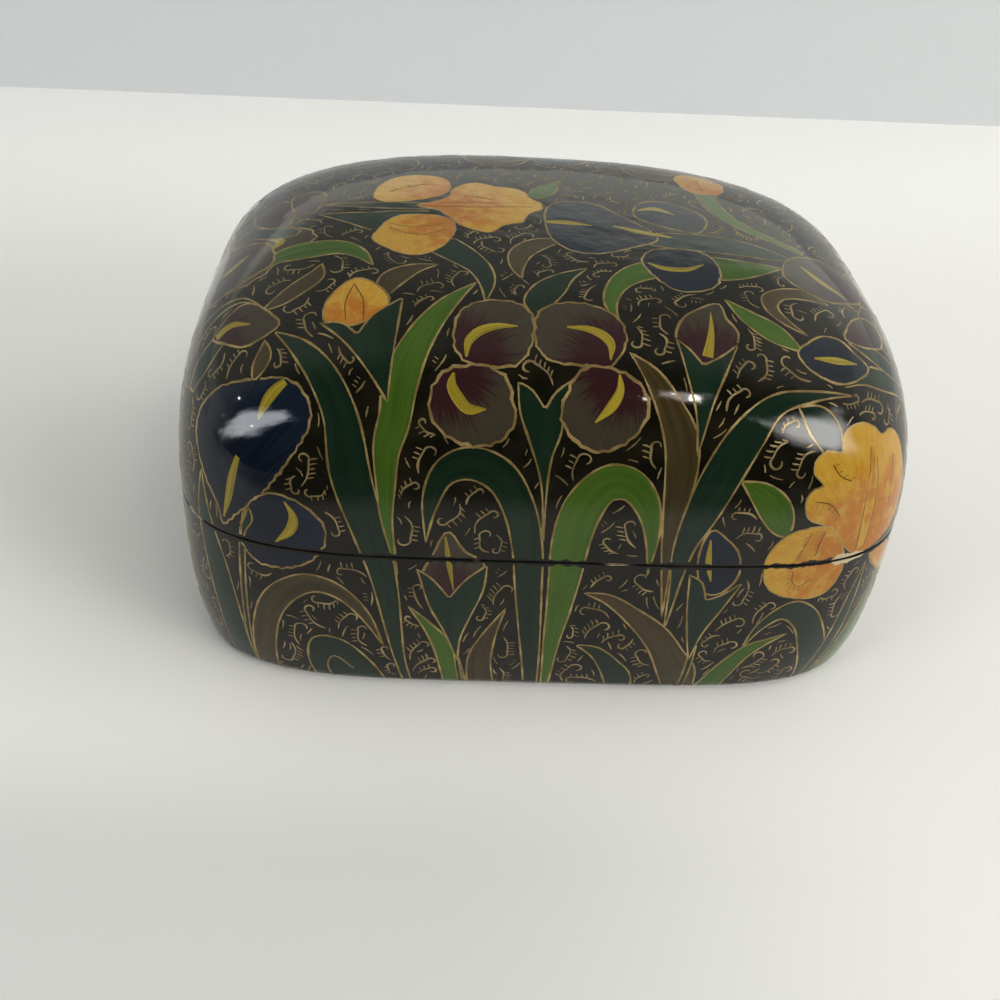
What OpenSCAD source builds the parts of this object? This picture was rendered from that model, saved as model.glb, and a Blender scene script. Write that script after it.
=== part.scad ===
// Pillow-shaped lift-off-lid box of moulded papier-mache.
// Two pulp shells, each under its own coat of painted ground and lacquer, and a card
// collar glued inside the base that stands above the seam and locates the lid.
// Millimetres, +Z up. The origin is the centre of the foot, on the table.

/* [Overall form] */
// Width of the closed box at its waist
box_w = 114; // [90:1:150]
// Depth of the closed box at its waist
box_d = 92; // [72:1:120]
// Height of the closed box
box_h = 59.5; // [52:0.5:80]
// Height of the waist, the widest level of the walls
waist_z = 25; // [20:0.5:30]
// Height of the seam, where the base's rim is cut level
seam_z = 27; // [22:0.5:32]

/* [Curves] */
// Squareness of the plan at the walls: 2 is an ellipse, more is squarer
plan_square = 4.8; // [3:0.1:6]
// Squareness of the plan at the crown
crown_square = 2.4; // [2:0.1:4]
// Flatness of the crown: more keeps it level for longer before the shoulder
crown_flat = 6; // [3:0.5:8]
// Uprightness of the lid's walls: more carries them higher before the shoulder
wall_upright = 2.9; // [2:0.1:4]
// How far the base draws in from the waist to the foot
foot_draw = 2.2; // [0:0.1:5]
// How late the base draws in: more keeps its walls upright for longer
foot_late = 3.5; // [2:0.5:6]
// Height of the eased edge round the foot
foot_ease_h = 1.6; // [0.8:0.1:3]
// How far the eased edge steps in at the table
foot_ease_in = 1; // [0.4:0.1:1.6]

/* [Layers] */
// Thickness of the coat of ground, paint and lacquer
coat_t = 0.6; // [0.3:0.05:1.2]
// Film of glue between two layers
glue_t = 0.05; // [0.03:0.01:0.1]
// Thickness of the pulp in the base's wall
base_wall_t = 2.6; // [1.8:0.1:4]
// Thickness of the pulp in the floor
floor_t = 3; // [2:0.1:5]
// Radius where the floor meets the wall inside
floor_fillet = 5; // [2:0.5:8]
// Thickness of the pulp in the lid
lid_wall_t = 2.3; // [1.5:0.1:4]

/* [Seam] */
// Open line between the base's rim and the lid's rim
seam_gap = 0.2; // [0.1:0.05:0.5]
// Worn bevel on the edge of each coat at the seam
edge_bevel = 0.35; // [0.1:0.05:0.5]

/* [Collar] */
// Thickness of the card strip
collar_t = 1.5; // [0.8:0.1:2.5]
// Depth of the strip glued below the seam
collar_seat = 7; // [4:0.5:10]
// Height of the strip standing above the seam
collar_rise = 5; // [3:0.5:8]
// Running clearance between the strip and the lid's wall
collar_fit = 0.3; // [0.15:0.05:0.5]
// Bevel that leads the lid on to the strip
collar_lead = 0.5; // [0.2:0.1:0.7]
// Open line where the two ends of the bent strip meet, at the back
collar_butt = 0.4; // [0.2:0.1:1]

/* [Hidden] */
// Points round each level, and levels up each wall
ring_n = 72;
wall_levels = 5;
ease_levels = 2;
fillet_levels = 3;
lid_levels = 12;
// Each layer's depth below the finished surface
shell_skin = coat_t + glue_t;
base_inside = shell_skin + base_wall_t;
lid_inside = shell_skin + lid_wall_t;
lid_rim_z = seam_z + seam_gap;
collar_foot_z = seam_z - collar_seat;
collar_top_z = seam_z + collar_rise;

// Height above the waist as a share of the dome's, on the form a depth t below the surface
function rise(z, t) = max(0, min(1, (z - waist_z) / (box_h - t - waist_z)));

// Share of the waist's size that the dome keeps at height z
function dome_share(z, t) = pow(1 - pow(rise(z, t), wall_upright), 1 / crown_flat);

// Inset of the base's wall at height z
function foot_inset(z) =
    foot_draw * pow(max(0, waist_z - z) / waist_z, foot_late)
    + foot_ease_in * pow(max(0, foot_ease_h - z) / foot_ease_h, 2);

// Inset of a fillet of the given radius that stands on a floor at height floor_z
function fillet_inset(z, floor_z, radius) =
    z >= floor_z + radius ? 0 : radius - sqrt(pow(radius, 2) - pow(floor_z + radius - z, 2));

function half_w(z, t) = (box_w / 2 - t) * dome_share(z, t) - foot_inset(z);
function half_d(z, t) = (box_d / 2 - t) * dome_share(z, t) - foot_inset(z);
function squareness(z, t) = plan_square + (crown_square - plan_square) * pow(rise(z, t), 2);

// Point of a superellipse with half sizes a and b at parameter angle u
function plan_point(a, b, square, u) = [
    a * sign(cos(u)) * pow(abs(cos(u)), 2 / square),
    b * sign(sin(u)) * pow(abs(sin(u)), 2 / square)
];

// One level of the form, a depth t below the finished surface and stepped in by inset
function level(z, t, inset = 0) = [
    for (i = [0:ring_n - 1])
        let (p = plan_point(half_w(z, t) - inset, half_d(z, t) - inset,
                            squareness(z, t), 360 * i / ring_n))
        [p[0], p[1], z]
];

// Heights up the outside of the base, close together over the eased foot
outside_heights = concat(
    [for (k = [0:ease_levels - 1]) foot_ease_h * k / ease_levels],
    [for (k = [0:wall_levels]) foot_ease_h + (seam_z - edge_bevel - foot_ease_h) * k / wall_levels]
);

function base_outside(t) = [for (z = outside_heights) level(z, t)];

function base_inside_levels(t) = concat(
    [level(seam_z, t)],
    [for (k = [1:wall_levels - 1])
        level(seam_z - (seam_z - floor_t - floor_fillet) * k / (wall_levels - 1), t)],
    [for (k = [1:fillet_levels])
        let (z = floor_t + floor_fillet * (1 - sin(90 * k / fillet_levels)))
        level(z, t, fillet_inset(z, floor_t, floor_fillet))]
);

// Levels up the lid, close together over the shoulder, stopping short of the crown's point
function lid_surface(t) = [
    for (k = [0:lid_levels - 1])
        level(lid_rim_z + (box_h - t - lid_rim_z) * sin(90 * k / lid_levels), t)
];

function reversed(list) = [for (i = [len(list) - 1:-1:0]) list[i]];
function joined(lists) = [for (l = lists) each l];

// Triangles between ring a and ring b, given the index of each ring's first point
function band(a, b, n) = [
    for (i = [0:n - 1])
        let (j = (i + 1) % n)
        each [[a + i, b + i, a + j], [a + j, b + i, b + j]]
];

// Solid skinned over rings and closed at both ends by fans to two middle points
module cup(rings, first_middle, last_middle) {
    count = len(rings);
    n = len(rings[0]);
    first = count * n;
    last = first + 1;
    end = (count - 1) * n;
    polyhedron(
        points = concat(joined(rings), [first_middle, last_middle]),
        faces = concat(
            [for (i = [0:n - 1]) [first, i, (i + 1) % n]],
            [for (k = [0:count - 2]) each band(k * n, (k + 1) * n, n)],
            [for (i = [0:n - 1]) [end + i, last, end + (i + 1) % n]]
        )
    );
}

// Solid skinned over rings whose last ring joins the first
module hoop(rings) {
    count = len(rings);
    n = len(rings[0]);
    polyhedron(
        points = joined(rings),
        faces = [for (k = [0:count - 1]) each band(k * n, ((k + 1) % count) * n, n)]
    );
}

// Solid swept from the first section to the last, with a flat face at each end
module strip(sections) {
    count = len(sections);
    n = len(sections[0]);
    polyhedron(
        points = joined(sections),
        faces = concat(
            [[for (i = [0:n - 1]) i]],
            [for (k = [0:count - 2]) each band(k * n, (k + 1) * n, n)],
            [[for (i = [n - 1:-1:0]) (count - 1) * n + i]]
        )
    );
}

// Moulded pulp bowl that carries the collar and stands on its flat floor
module base_shell() {
    color("tan")
        cup(
            concat(base_outside(shell_skin), [level(seam_z, shell_skin)],
                   base_inside_levels(base_inside)),
            [0, 0, 0],
            [0, 0, floor_t]
        );
}

// Ground, paint and lacquer round the base's wall, bevelled at the seam
module base_coat() {
    color([0.09, 0.09, 0.07])
        hoop(concat(
            base_outside(0),
            [level(seam_z, 0, edge_bevel), level(seam_z, coat_t)],
            reversed(base_outside(coat_t))
        ));
}

// Card strip bent round inside the base's rim, its top bevelled to lead the lid on
module rim_collar() {
    base_room = base_inside + glue_t;
    lid_room = lid_inside + collar_fit;
    a = min(half_w(collar_foot_z, base_room), half_w(collar_top_z, lid_room));
    b = min(half_d(collar_foot_z, base_room), half_d(collar_top_z, lid_room));
    square = min(squareness(collar_foot_z, base_room), squareness(collar_top_z, lid_room));
    butt_u = asin(pow(collar_butt / 2 / a, square / 2));
    turns = concat([90 + butt_u], [for (i = [1:ring_n - 1]) 90 + 360 * i / ring_n],
                   [450 - butt_u]);
    // The section runs up the outside, over the lead-in bevel and down the inside
    section = [[0, collar_foot_z], [0, collar_top_z - collar_lead], [collar_lead, collar_top_z],
               [collar_t, collar_top_z], [collar_t, collar_foot_z]];
    color([0.13, 0.11, 0.09])
        strip([
            for (u = turns)
                [for (s = section)
                    let (p = plan_point(a - s[0], b - s[0], square, u))
                    [p[0], p[1], s[1]]]
        ]);
}

// Moulded pulp dome, open below
module lid_shell() {
    color("tan")
        cup(
            concat(reversed(lid_surface(lid_inside)), lid_surface(shell_skin)),
            [0, 0, box_h - lid_inside],
            [0, 0, box_h - shell_skin]
        );
}

// Ground, paint and lacquer over the lid, bevelled at the seam
module lid_coat() {
    outer = lid_surface(0);
    color([0.09, 0.09, 0.07])
        cup(
            concat(
                reversed(lid_surface(coat_t)),
                [level(lid_rim_z, 0, edge_bevel), level(lid_rim_z + edge_bevel, 0)],
                [for (k = [1:lid_levels - 1]) outer[k]]
            ),
            [0, 0, box_h - coat_t],
            [0, 0, box_h]
        );
}

base_shell();
base_coat();
rim_collar();
lid_shell();
lid_coat();
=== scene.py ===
# %% [markdown]
# # A painted and lacquered pillow box
# The box is moulded from paper pulp, coated with a ground, painted all over with irises
# and leaves that are lined in gilt, and lacquered. Its lid lifts off a collar of card.
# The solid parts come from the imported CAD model, and everything here is fitted to them.

# %% Load the fixed frame
import math
import random

import bpy
import numpy as np
from mathutils import Matrix, Quaternion, Vector
from mathutils.geometry import delaunay_2d_cdt


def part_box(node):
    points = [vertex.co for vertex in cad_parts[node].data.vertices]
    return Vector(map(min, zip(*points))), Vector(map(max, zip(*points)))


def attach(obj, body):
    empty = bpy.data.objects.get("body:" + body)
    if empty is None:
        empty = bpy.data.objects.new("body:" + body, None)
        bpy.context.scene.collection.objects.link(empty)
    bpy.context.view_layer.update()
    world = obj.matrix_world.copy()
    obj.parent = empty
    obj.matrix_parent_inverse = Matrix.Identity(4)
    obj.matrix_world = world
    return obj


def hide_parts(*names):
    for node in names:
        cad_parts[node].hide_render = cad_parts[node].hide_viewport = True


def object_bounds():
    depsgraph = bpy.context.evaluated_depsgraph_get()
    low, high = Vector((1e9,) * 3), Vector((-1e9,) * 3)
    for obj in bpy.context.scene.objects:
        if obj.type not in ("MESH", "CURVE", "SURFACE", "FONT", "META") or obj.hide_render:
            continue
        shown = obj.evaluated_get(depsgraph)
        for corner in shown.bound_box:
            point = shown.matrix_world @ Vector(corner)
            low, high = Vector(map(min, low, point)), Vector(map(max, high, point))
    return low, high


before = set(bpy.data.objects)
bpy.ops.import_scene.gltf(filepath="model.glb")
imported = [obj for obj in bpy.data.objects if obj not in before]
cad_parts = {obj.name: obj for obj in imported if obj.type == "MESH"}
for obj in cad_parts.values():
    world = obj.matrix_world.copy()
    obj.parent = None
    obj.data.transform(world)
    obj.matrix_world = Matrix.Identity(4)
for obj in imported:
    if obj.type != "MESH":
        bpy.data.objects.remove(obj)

MM = 0.001
cad_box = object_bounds()
print("CAD box in mm:", [[round(c / MM, 2) for c in corner] for corner in cad_box])

# %% [markdown]
# ## The form
# The box is a pillow: every level is a superellipse, squarer at the walls than at the
# crown, and the levels shrink over the shoulder. It could be sculpted or subdivided from
# a cube, but the CAD part follows a rule, so the same rule here gives the same surface at
# any fineness, with exact normals for the lacquer to reflect.

# %% Sizes of the form in millimetres
HALF_W, HALF_D = cad_box[1].x / MM, cad_box[1].y / MM
BOX_H = cad_box[1].z / MM
BASE_RIM_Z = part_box("base_coat")[1].z / MM
LID_RIM_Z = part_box("lid_coat")[0].z / MM
WAIST_Z = 25.0
PLAN_SQUARE, CROWN_SQUARE, CROWN_FLAT, WALL_UPRIGHT = 4.8, 2.4, 6.0, 2.9
FOOT_DRAW, FOOT_LATE, FOOT_EASE_H, FOOT_EASE_IN = 2.2, 3.5, 1.6, 1.0
COAT_T, GLUE_T = 0.6, 0.05
BASE_WALL_T, FLOOR_T, FLOOR_FILLET, LID_WALL_T = 2.6, 3.0, 5.0, 2.3
EDGE_BEVEL = 0.12
MEAN_HALF = (HALF_W + HALF_D) / 2


def rise(z, t=0.0):
    """Height above the waist as a share of the dome's."""
    return np.clip((z - WAIST_Z) / (BOX_H - t - WAIST_Z), 0, 1)


def dome_share(z, t=0.0):
    """Share of the waist's size that is left at height z."""
    return (1 - rise(z, t) ** WALL_UPRIGHT) ** (1 / CROWN_FLAT)


def foot_inset(z):
    draw = FOOT_DRAW * (np.maximum(0, WAIST_Z - z) / WAIST_Z) ** FOOT_LATE
    return draw + FOOT_EASE_IN * (np.maximum(0, FOOT_EASE_H - z) / FOOT_EASE_H) ** 2


def squareness(z, t=0.0):
    return PLAN_SQUARE + (CROWN_SQUARE - PLAN_SQUARE) * rise(z, t) ** 2


def unit_reach(turn, square):
    """Distance from the middle of a superellipse of half size 1, in the direction turn."""
    return (np.abs(np.cos(turn)) ** square + np.abs(np.sin(turn)) ** square) ** (-1 / square)


def level_point(turn, z, t=0.0, inset=0.0):
    """Point of the form at height z, a depth t below the finished surface."""
    share, draw = dome_share(z, t), foot_inset(z) + inset
    reach = unit_reach(turn, squareness(z, t))
    x = ((HALF_W - t) * share - draw) * reach * np.cos(turn)
    y = ((HALF_D - t) * share - draw) * reach * np.sin(turn)
    return np.stack(np.broadcast_arrays(x, y, z), -1)


# %% [markdown]
# ## The chart
# The painter turns the box in the hand and paints round it. To compose the pattern flat,
# the skin is unrolled from the crown outwards into a chart in millimetres: the crown
# keeps its place, and the walls lie round it. A UV unwrap would do the same once a mesh
# exists, but here the mesh is cut along the painted shapes, so the chart comes first.

# %% Chart of the skin
def meridian(count=3000):
    """Distance from the crown, share of size and height along the mean side line."""
    share = np.linspace(0, 0.98, count)
    dome_z = WAIST_Z + (BOX_H - WAIST_Z) * (1 - share ** CROWN_FLAT) ** (1 / WALL_UPRIGHT)
    wall_z = np.linspace(dome_z[-1], 0, count)[1:]
    z = np.concatenate([dome_z, wall_z])
    share = np.concatenate([share, dome_share(wall_z)])
    reach = MEAN_HALF * share - foot_inset(z)
    climb = np.concatenate([[0], np.cumsum(np.hypot(np.diff(reach), np.diff(z)))])
    return climb, share, z


FROM_CROWN, SHARE, HEIGHT = meridian()
FOOT_S = FROM_CROWN[-1]
CHART_X, CHART_Y = HALF_W / MEAN_HALF, HALF_D / MEAN_HALF
RELIEF = 0.06


def skin_point(turn, s):
    """Point of the painted ground at distance s from the crown, under the lines' relief."""
    z, share = np.interp(s, FROM_CROWN, HEIGHT), np.interp(s, FROM_CROWN, SHARE)
    reach, draw = unit_reach(turn, squareness(z)), foot_inset(z) + RELIEF
    x = (HALF_W * share - draw) * reach * np.cos(turn)
    y = (HALF_D * share - draw) * reach * np.sin(turn)
    return np.stack([x, y, z - RELIEF * rise(z)], -1)


def to_chart(turn, s):
    reach = s * unit_reach(turn, squareness(np.interp(s, FROM_CROWN, HEIGHT)))
    return np.stack([CHART_X * reach * np.cos(turn), CHART_Y * reach * np.sin(turn)], -1)


def from_chart(xy):
    """Direction and distance from the crown of chart points."""
    x, y = xy[..., 0] / CHART_X, xy[..., 1] / CHART_Y
    turn, reach = np.arctan2(y, x), np.hypot(x, y)
    s = reach.copy()
    for _ in range(10):
        s = reach / unit_reach(turn, squareness(np.interp(s, FROM_CROWN, HEIGHT)))
    return turn, s


def on_skin(xy):
    return skin_point(*from_chart(xy))


def skin_normal(xy, step=0.15):
    """Outward normals at chart points, from small steps across the chart."""
    right, up = np.array([step, 0.0]), np.array([0.0, step])
    across = on_skin(xy + right) - on_skin(xy - right)
    normal = np.cross(across, on_skin(xy + up) - on_skin(xy - up))
    return normal / np.linalg.norm(normal, axis=-1, keepdims=True)


print("Skin from crown to foot:", round(FOOT_S, 1), "mm")

# %% [markdown]
# ## Drawing tools
# A brush makes two kinds of mark. A leaf, strap or stem is one long stroke that swells
# and thins, so it is a smooth path with a width at each key. A petal is a round blot
# from the throat of the flower to its tip. Both become flat shapes in the chart, kept in
# painter's order, and each keeps its own small coordinates for the brush hairs.

# %% Strokes, leaves and petals
rng = random.Random(7)
shapes = []
lines = []
placing = [np.eye(2)]
# Millimetres in the chart: between points of an outline, along a leaf per unit of its brush
# hairs, the finest stroke, and between the scallops of a petal's edge
OUTLINE_STEP, HAIR_SPAN, FINEST, SCALLOP_PITCH = 0.6, 30, 0.05, 2.3
PETAL_POINTS = 84


def smooth_path(keys, step=OUTLINE_STEP):
    """Points of a smooth line through keys of (x, y) or (x, y, width)."""
    keys = np.array(keys, float)
    gaps = np.hypot(*np.diff(keys[:, :2], axis=0).T)
    t = np.concatenate([[0], np.cumsum(np.sqrt(gaps))])
    if len(keys) > 2:
        slopes = np.gradient(keys, t, axis=0)
    else:
        slopes = np.tile((keys[1] - keys[0]) / t[1], (2, 1))
    out = []
    for i, gap in enumerate(gaps):
        n = max(2, int(round(gap / step)))
        u = np.linspace(0, 1, n, endpoint=False)[:, None]
        h = t[i + 1] - t[i]
        out.append((2 * u ** 3 - 3 * u ** 2 + 1) * keys[i] + (u ** 3 - 2 * u ** 2 + u) * h * slopes[i]
                   + (3 * u ** 2 - 2 * u ** 3) * keys[i + 1] + (u ** 3 - u ** 2) * h * slopes[i + 1])
    return np.concatenate(out + [keys[-1:]])


def counter_clockwise(ring):
    x, y = ring[:, 0], ring[:, 1]
    area = np.sum(x * np.roll(y, -1) - y * np.roll(x, -1))
    return ring if area > 0 else ring[::-1]


def add_shape(paint, ring, local, gilt=0.5):
    """Keeps a painted shape, and outlines it in gilt unless gilt is 0."""
    place = placing[-1]
    unplace = np.linalg.inv(place)
    shapes.append({"paint": paint, "ring": counter_clockwise(ring @ place.T),
                   "local": lambda xy: local(xy @ unplace.T), "hand": rng.random()})
    if gilt:
        closed = np.concatenate([ring, ring[:1]])
        add_line(closed, gilt, owner=len(shapes) - 1)
    return len(shapes) - 1


def add_line(path, width, owner=-1, kind="gilt"):
    """Keeps a painted line. Its owner is the last shape that lies below it."""
    path = path @ placing[-1].T
    lines.append({"path": path, "width": width, "owner": owner, "kind": kind})


def leaf(paint, *keys, gilt=0.5):
    """A long stroke through keys of (x, y, width)."""
    path = smooth_path(keys)
    spine, width = path[:, :2], np.maximum(path[:, 2], FINEST)
    along = np.gradient(spine, axis=0)
    along /= np.linalg.norm(along, axis=1, keepdims=True)
    side = np.stack([-along[:, 1], along[:, 0]], 1) * width[:, None] / 2
    ring = np.concatenate([spine + side, (spine - side)[::-1]])
    reach = np.concatenate([[0], np.cumsum(np.hypot(*np.diff(spine, axis=0).T))])

    def local(xy):
        near = np.argmin(((xy[:, None] - spine[None]) ** 2).sum(-1), 1)
        across = ((xy - spine[near]) * side[near]).sum(1) / (side[near] ** 2).sum(1)
        return np.stack([reach[near] / HAIR_SPAN, across], 1)

    return add_shape(paint, ring, local, gilt)


def petal(paint, throat, tip, width, lobes=9, scallop=0.03, point=0.0, waist=0.5, gilt=0.55):
    """A round stroke from throat to tip, its edge wavy like a hand's."""
    throat, tip = np.array(throat, float), np.array(tip, float)
    along = tip - throat
    length = np.linalg.norm(along)
    along /= length
    across = np.array([-along[1], along[0]])
    phi = np.linspace(0, 2 * np.pi, PETAL_POINTS, endpoint=False)
    a = 0.5 - 0.5 * np.cos(phi)
    swell = a ** waist * (1 - a) ** (0.5 + 0.5 * point)
    grid = np.linspace(0, 1, 99)
    swell /= (grid ** waist * (1 - grid) ** (0.5 + 0.5 * point)).max()
    turn = rng.uniform(0, 6.28)
    wave = 1 + scallop * np.cos(lobes * phi + turn) + 0.4 * scallop * np.cos((lobes + 4) * phi - turn)
    a = 0.5 + (a - 0.5) * wave
    b = 0.5 * swell * np.sign(np.sin(phi)) * wave
    ring = throat + np.outer(a * length, along) + np.outer(b * width, across)

    def local(xy):
        offset = (xy - throat) / length
        return np.stack([offset @ along, offset @ across], 1)

    return add_shape(paint, ring, local, gilt)


def closed_curve(points, step=OUTLINE_STEP):
    """A smooth closed ring through points."""
    keys = np.array(points, float)
    out = []
    for i in range(len(keys)):
        before, here, there, after = (keys[(i + k) % len(keys)] for k in (-1, 0, 1, 2))
        n = max(2, int(round(np.linalg.norm(there - here) / step)))
        u = np.linspace(0, 1, n, endpoint=False)[:, None]
        bend = 2 * before - 5 * here + 4 * there - after
        twist = 3 * here - before - 3 * there + after
        out.append(0.5 * (2 * here + (there - before) * u + bend * u ** 2 + twist * u ** 3))
    return np.concatenate(out)


def from_throat(throat, ring):
    """Brush place of a petal: its throat is 0, its farthest edge 1."""
    along = ring.mean(0) - throat
    along /= np.linalg.norm(along)
    frame_here = np.array([along, [-along[1], along[0]]]) / np.linalg.norm(ring - throat, axis=1).max()
    return lambda xy: (xy - throat) @ frame_here.T


def blot(paint, throat, *points, scallop=0.1, gilt=0.58):
    """A petal of any outline, its hairs fanning from the throat, its edge scalloped."""
    ring = closed_curve(points)
    out = np.roll(ring, -1, 0) - np.roll(ring, 1, 0)
    out = np.stack([out[:, 1], -out[:, 0]], 1) / np.linalg.norm(out, axis=1, keepdims=True)
    round_about = 2 * np.pi * np.arange(len(ring)) / len(ring)
    waves = max(3, round(len(ring) * OUTLINE_STEP / SCALLOP_PITCH))
    wave = np.sin(waves * round_about + rng.uniform(0, 6)) + 0.5 * np.sin((2 * waves + 3) * round_about)
    ring = ring + out * scallop * wave[:, None]
    return add_shape(paint, ring, from_throat(np.array(throat, float), ring), gilt)


def patch(paint, *sides, gilt=0.5):
    """A leaf shape between smooth sides that meet in sharp corners."""
    ring = np.concatenate([smooth_path(side)[:-1] for side in sides])
    low = ring[ring[:, 1].argmin()]
    spread = from_throat(low, ring)
    return add_shape(paint, ring, lambda xy: spread(xy) * (0.8, 2.5), gilt)


def crescent(*keys):
    """The ochre stripe that the painter lays on a petal."""
    keys = [(*keys[0][:2], 0.3)] + list(keys[1:-1]) + [(*keys[-1][:2], 0.2)]
    return leaf("ochre", *keys, gilt=0)


def ink(*keys, ticks=0, way=1):
    """A fine dark line, with a row of short hairs on one side."""
    path = smooth_path(keys)[:, :2]
    add_line(path, 0.27, len(shapes) - 1, "ink")
    for i in np.linspace(1, len(path) - 2, ticks).astype(int) if ticks else []:
        along = path[i + 1] - path[i - 1]
        side = np.array([-along[1], along[0]]) / np.linalg.norm(along) * way
        end = path[i] + side * rng.uniform(0.7, 1.1) + along * 0.4
        add_line(smooth_path([path[i] + side * 0.15, end], 0.3), 0.2, len(shapes) - 1, "ink")


print("Drawing tools ready")

# %% [markdown]
# ## The front garden
# Straps and leaves stand on the foot and grow on to the lid, and irises, buds and
# smaller leaves fill the height between them. The places are in chart millimetres.

# %% Straps and leaves of the front
def bud(paint, foot, tip, width, stem=(), stripe=True):
    """A closed flower in a cup of two sepals, on a stem."""
    foot, tip = np.array(foot, float), np.array(tip, float)
    up = (tip - foot) / np.linalg.norm(tip - foot)
    out = np.array([-up[1], up[0]])

    def at(across, along):
        return tuple(foot + width * (across * out + along * up))

    if len(stem):
        leaf("dark leaf", (*at(0, -1), 1), *stem)
    petal(paint, foot, tip, width, 5, 0.015, point=0.9, waist=0.75)
    if stripe:
        crescent(at(0, 0.1), (*at(0.02, 0.5), 1.3), at(0, 0.95))
    patch("dark leaf", [at(0.55, 0.3), at(0.3, -0.02), at(0, -0.22)],
          [at(0, -0.22), at(-0.3, -0.02), at(-0.55, 0.3)],
          [at(-0.55, 0.3), at(-0.4, -0.4), at(-0.14, -1), at(0, -1.7)],
          [at(0, -1.7), at(0.14, -1), at(0.4, -0.4), at(0.55, 0.3)])


def front_straps():
    leaf("dark leaf", (-41, -31, 0), (-37, -35, 3), (-34, -40, 4.6), (-32.7, -46, 5.5), (-34.6, -55, 7),
         (-35.3, -62, 6.9), (-36.5, -70, 5.6), (-38.2, -77, 4.4), (-40, -84, 3), (-42, -96, 2.2))
    leaf("olive leaf", (9, -36.5, 0), (12, -39.5, 2.2), (15, -43.5, 3.5), (18, -48, 4.8),
         (19.5, -52, 5), (20.8, -57, 4), (22.3, -62, 2.6), (24.5, -67, 1.6), (28.5, -75, 0))
    leaf("dark leaf", (44, -37.5, 0), (37, -39.5, 1.6), (31, -42, 3.4), (28, -46.5, 6), (26.4, -52, 7),
         (26, -58, 6.4), (26, -63, 4.4), (27.5, -68, 2.4), (29.5, -74, 1), (30.5, -77, 0))
    leaf("dark leaf", (-25, -63.5, 0), (-22, -57, 2.6), (-18.5, -53, 3.4), (-14, -51.8, 4.4),
         (-9.5, -53.5, 5.2), (-6.6, -58, 5.6), (-5, -64, 6), (-4.5, -70, 6), (-3.6, -78, 5.5),
         (-2.5, -86, 4.6), (-1.5, -96, 3.6))
    leaf("green leaf", (21, -68, 0), (18.8, -61.5, 2.4), (16, -57, 3.6), (12, -54, 4.2), (8, -54, 5.4),
         (4.8, -57.5, 7), (3.5, -62, 7.4), (3.3, -68, 7), (3, -74, 5.8), (2.4, -80, 4.2),
         (2.4, -88, 2.6), (2.4, -96, 1.6))
    leaf("green leaf", (-12, -22.5, 0), (-16, -28, 2.6), (-20.5, -36, 4.2), (-23.2, -42, 4.8),
         (-24.6, -46, 4.4), (-27, -50, 3.8), (-29, -55, 3), (-31, -60, 2), (-33, -69, 0))


def front_base():
    leaf("olive leaf", (-92, -90, 7), (-85, -84, 6), (-76, -77.5, 5.5), (-68, -73, 4.6),
         (-60, -70.6, 3.6), (-53, -70, 3), (-47.5, -72, 3), (-44.3, -76, 2.6), (-43, -81.5, 0))
    petal("dark leaf", (-56, -98), (-62, -80), 22, 3, 0.02)
    add_line(smooth_path([(-65, -90), (-63, -85.5), (-58.5, -83.5), (-55.5, -86.5)])[:, :2], 0.42,
             len(shapes) - 1)
    leaf("green leaf", (-33, -74, 0), (-29.5, -77.8, 2.4), (-26.8, -82, 5.4), (-26, -86, 6.6),
         (-26.5, -97, 7))
    leaf("olive leaf", (-9.5, -74, 0), (-12.5, -77.5, 1.8), (-15.5, -81.5, 4.4), (-17.5, -85.5, 7),
         (-18, -97, 9.5))
    leaf("dark leaf", (9, -80.5, 0), (15, -82, 2.2), (21, -85.5, 4.4), (26, -89.5, 6.6), (30, -97, 7))
    leaf("olive leaf", (8, -71, 0), (14, -72, 1.6), (22, -75.2, 3), (30, -79, 4.6), (37, -83.5, 6),
         (44, -88, 7.4), (50, -96, 8))
    leaf("dark leaf", (54.5, -80, 0), (55, -75.4, 2.4), (58.5, -72.2, 3.2), (65, -72.6, 4.2),
         (73, -75.5, 5.6), (82, -79.5, 6.6), (92, -86, 7))
    leaf("green leaf", (64.5, -76, 0), (60, -78.4, 1.6), (56.5, -81, 4.4), (54.8, -85, 7), (55, -97, 9))
    leaf("green leaf", (79, -56, 0), (84, -62, 5), (90, -70, 10), (97, -82, 12))
    leaf("dark leaf", (71, -60, 0), (76, -66, 3), (82, -74, 4), (88, -86, 3))


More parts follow.
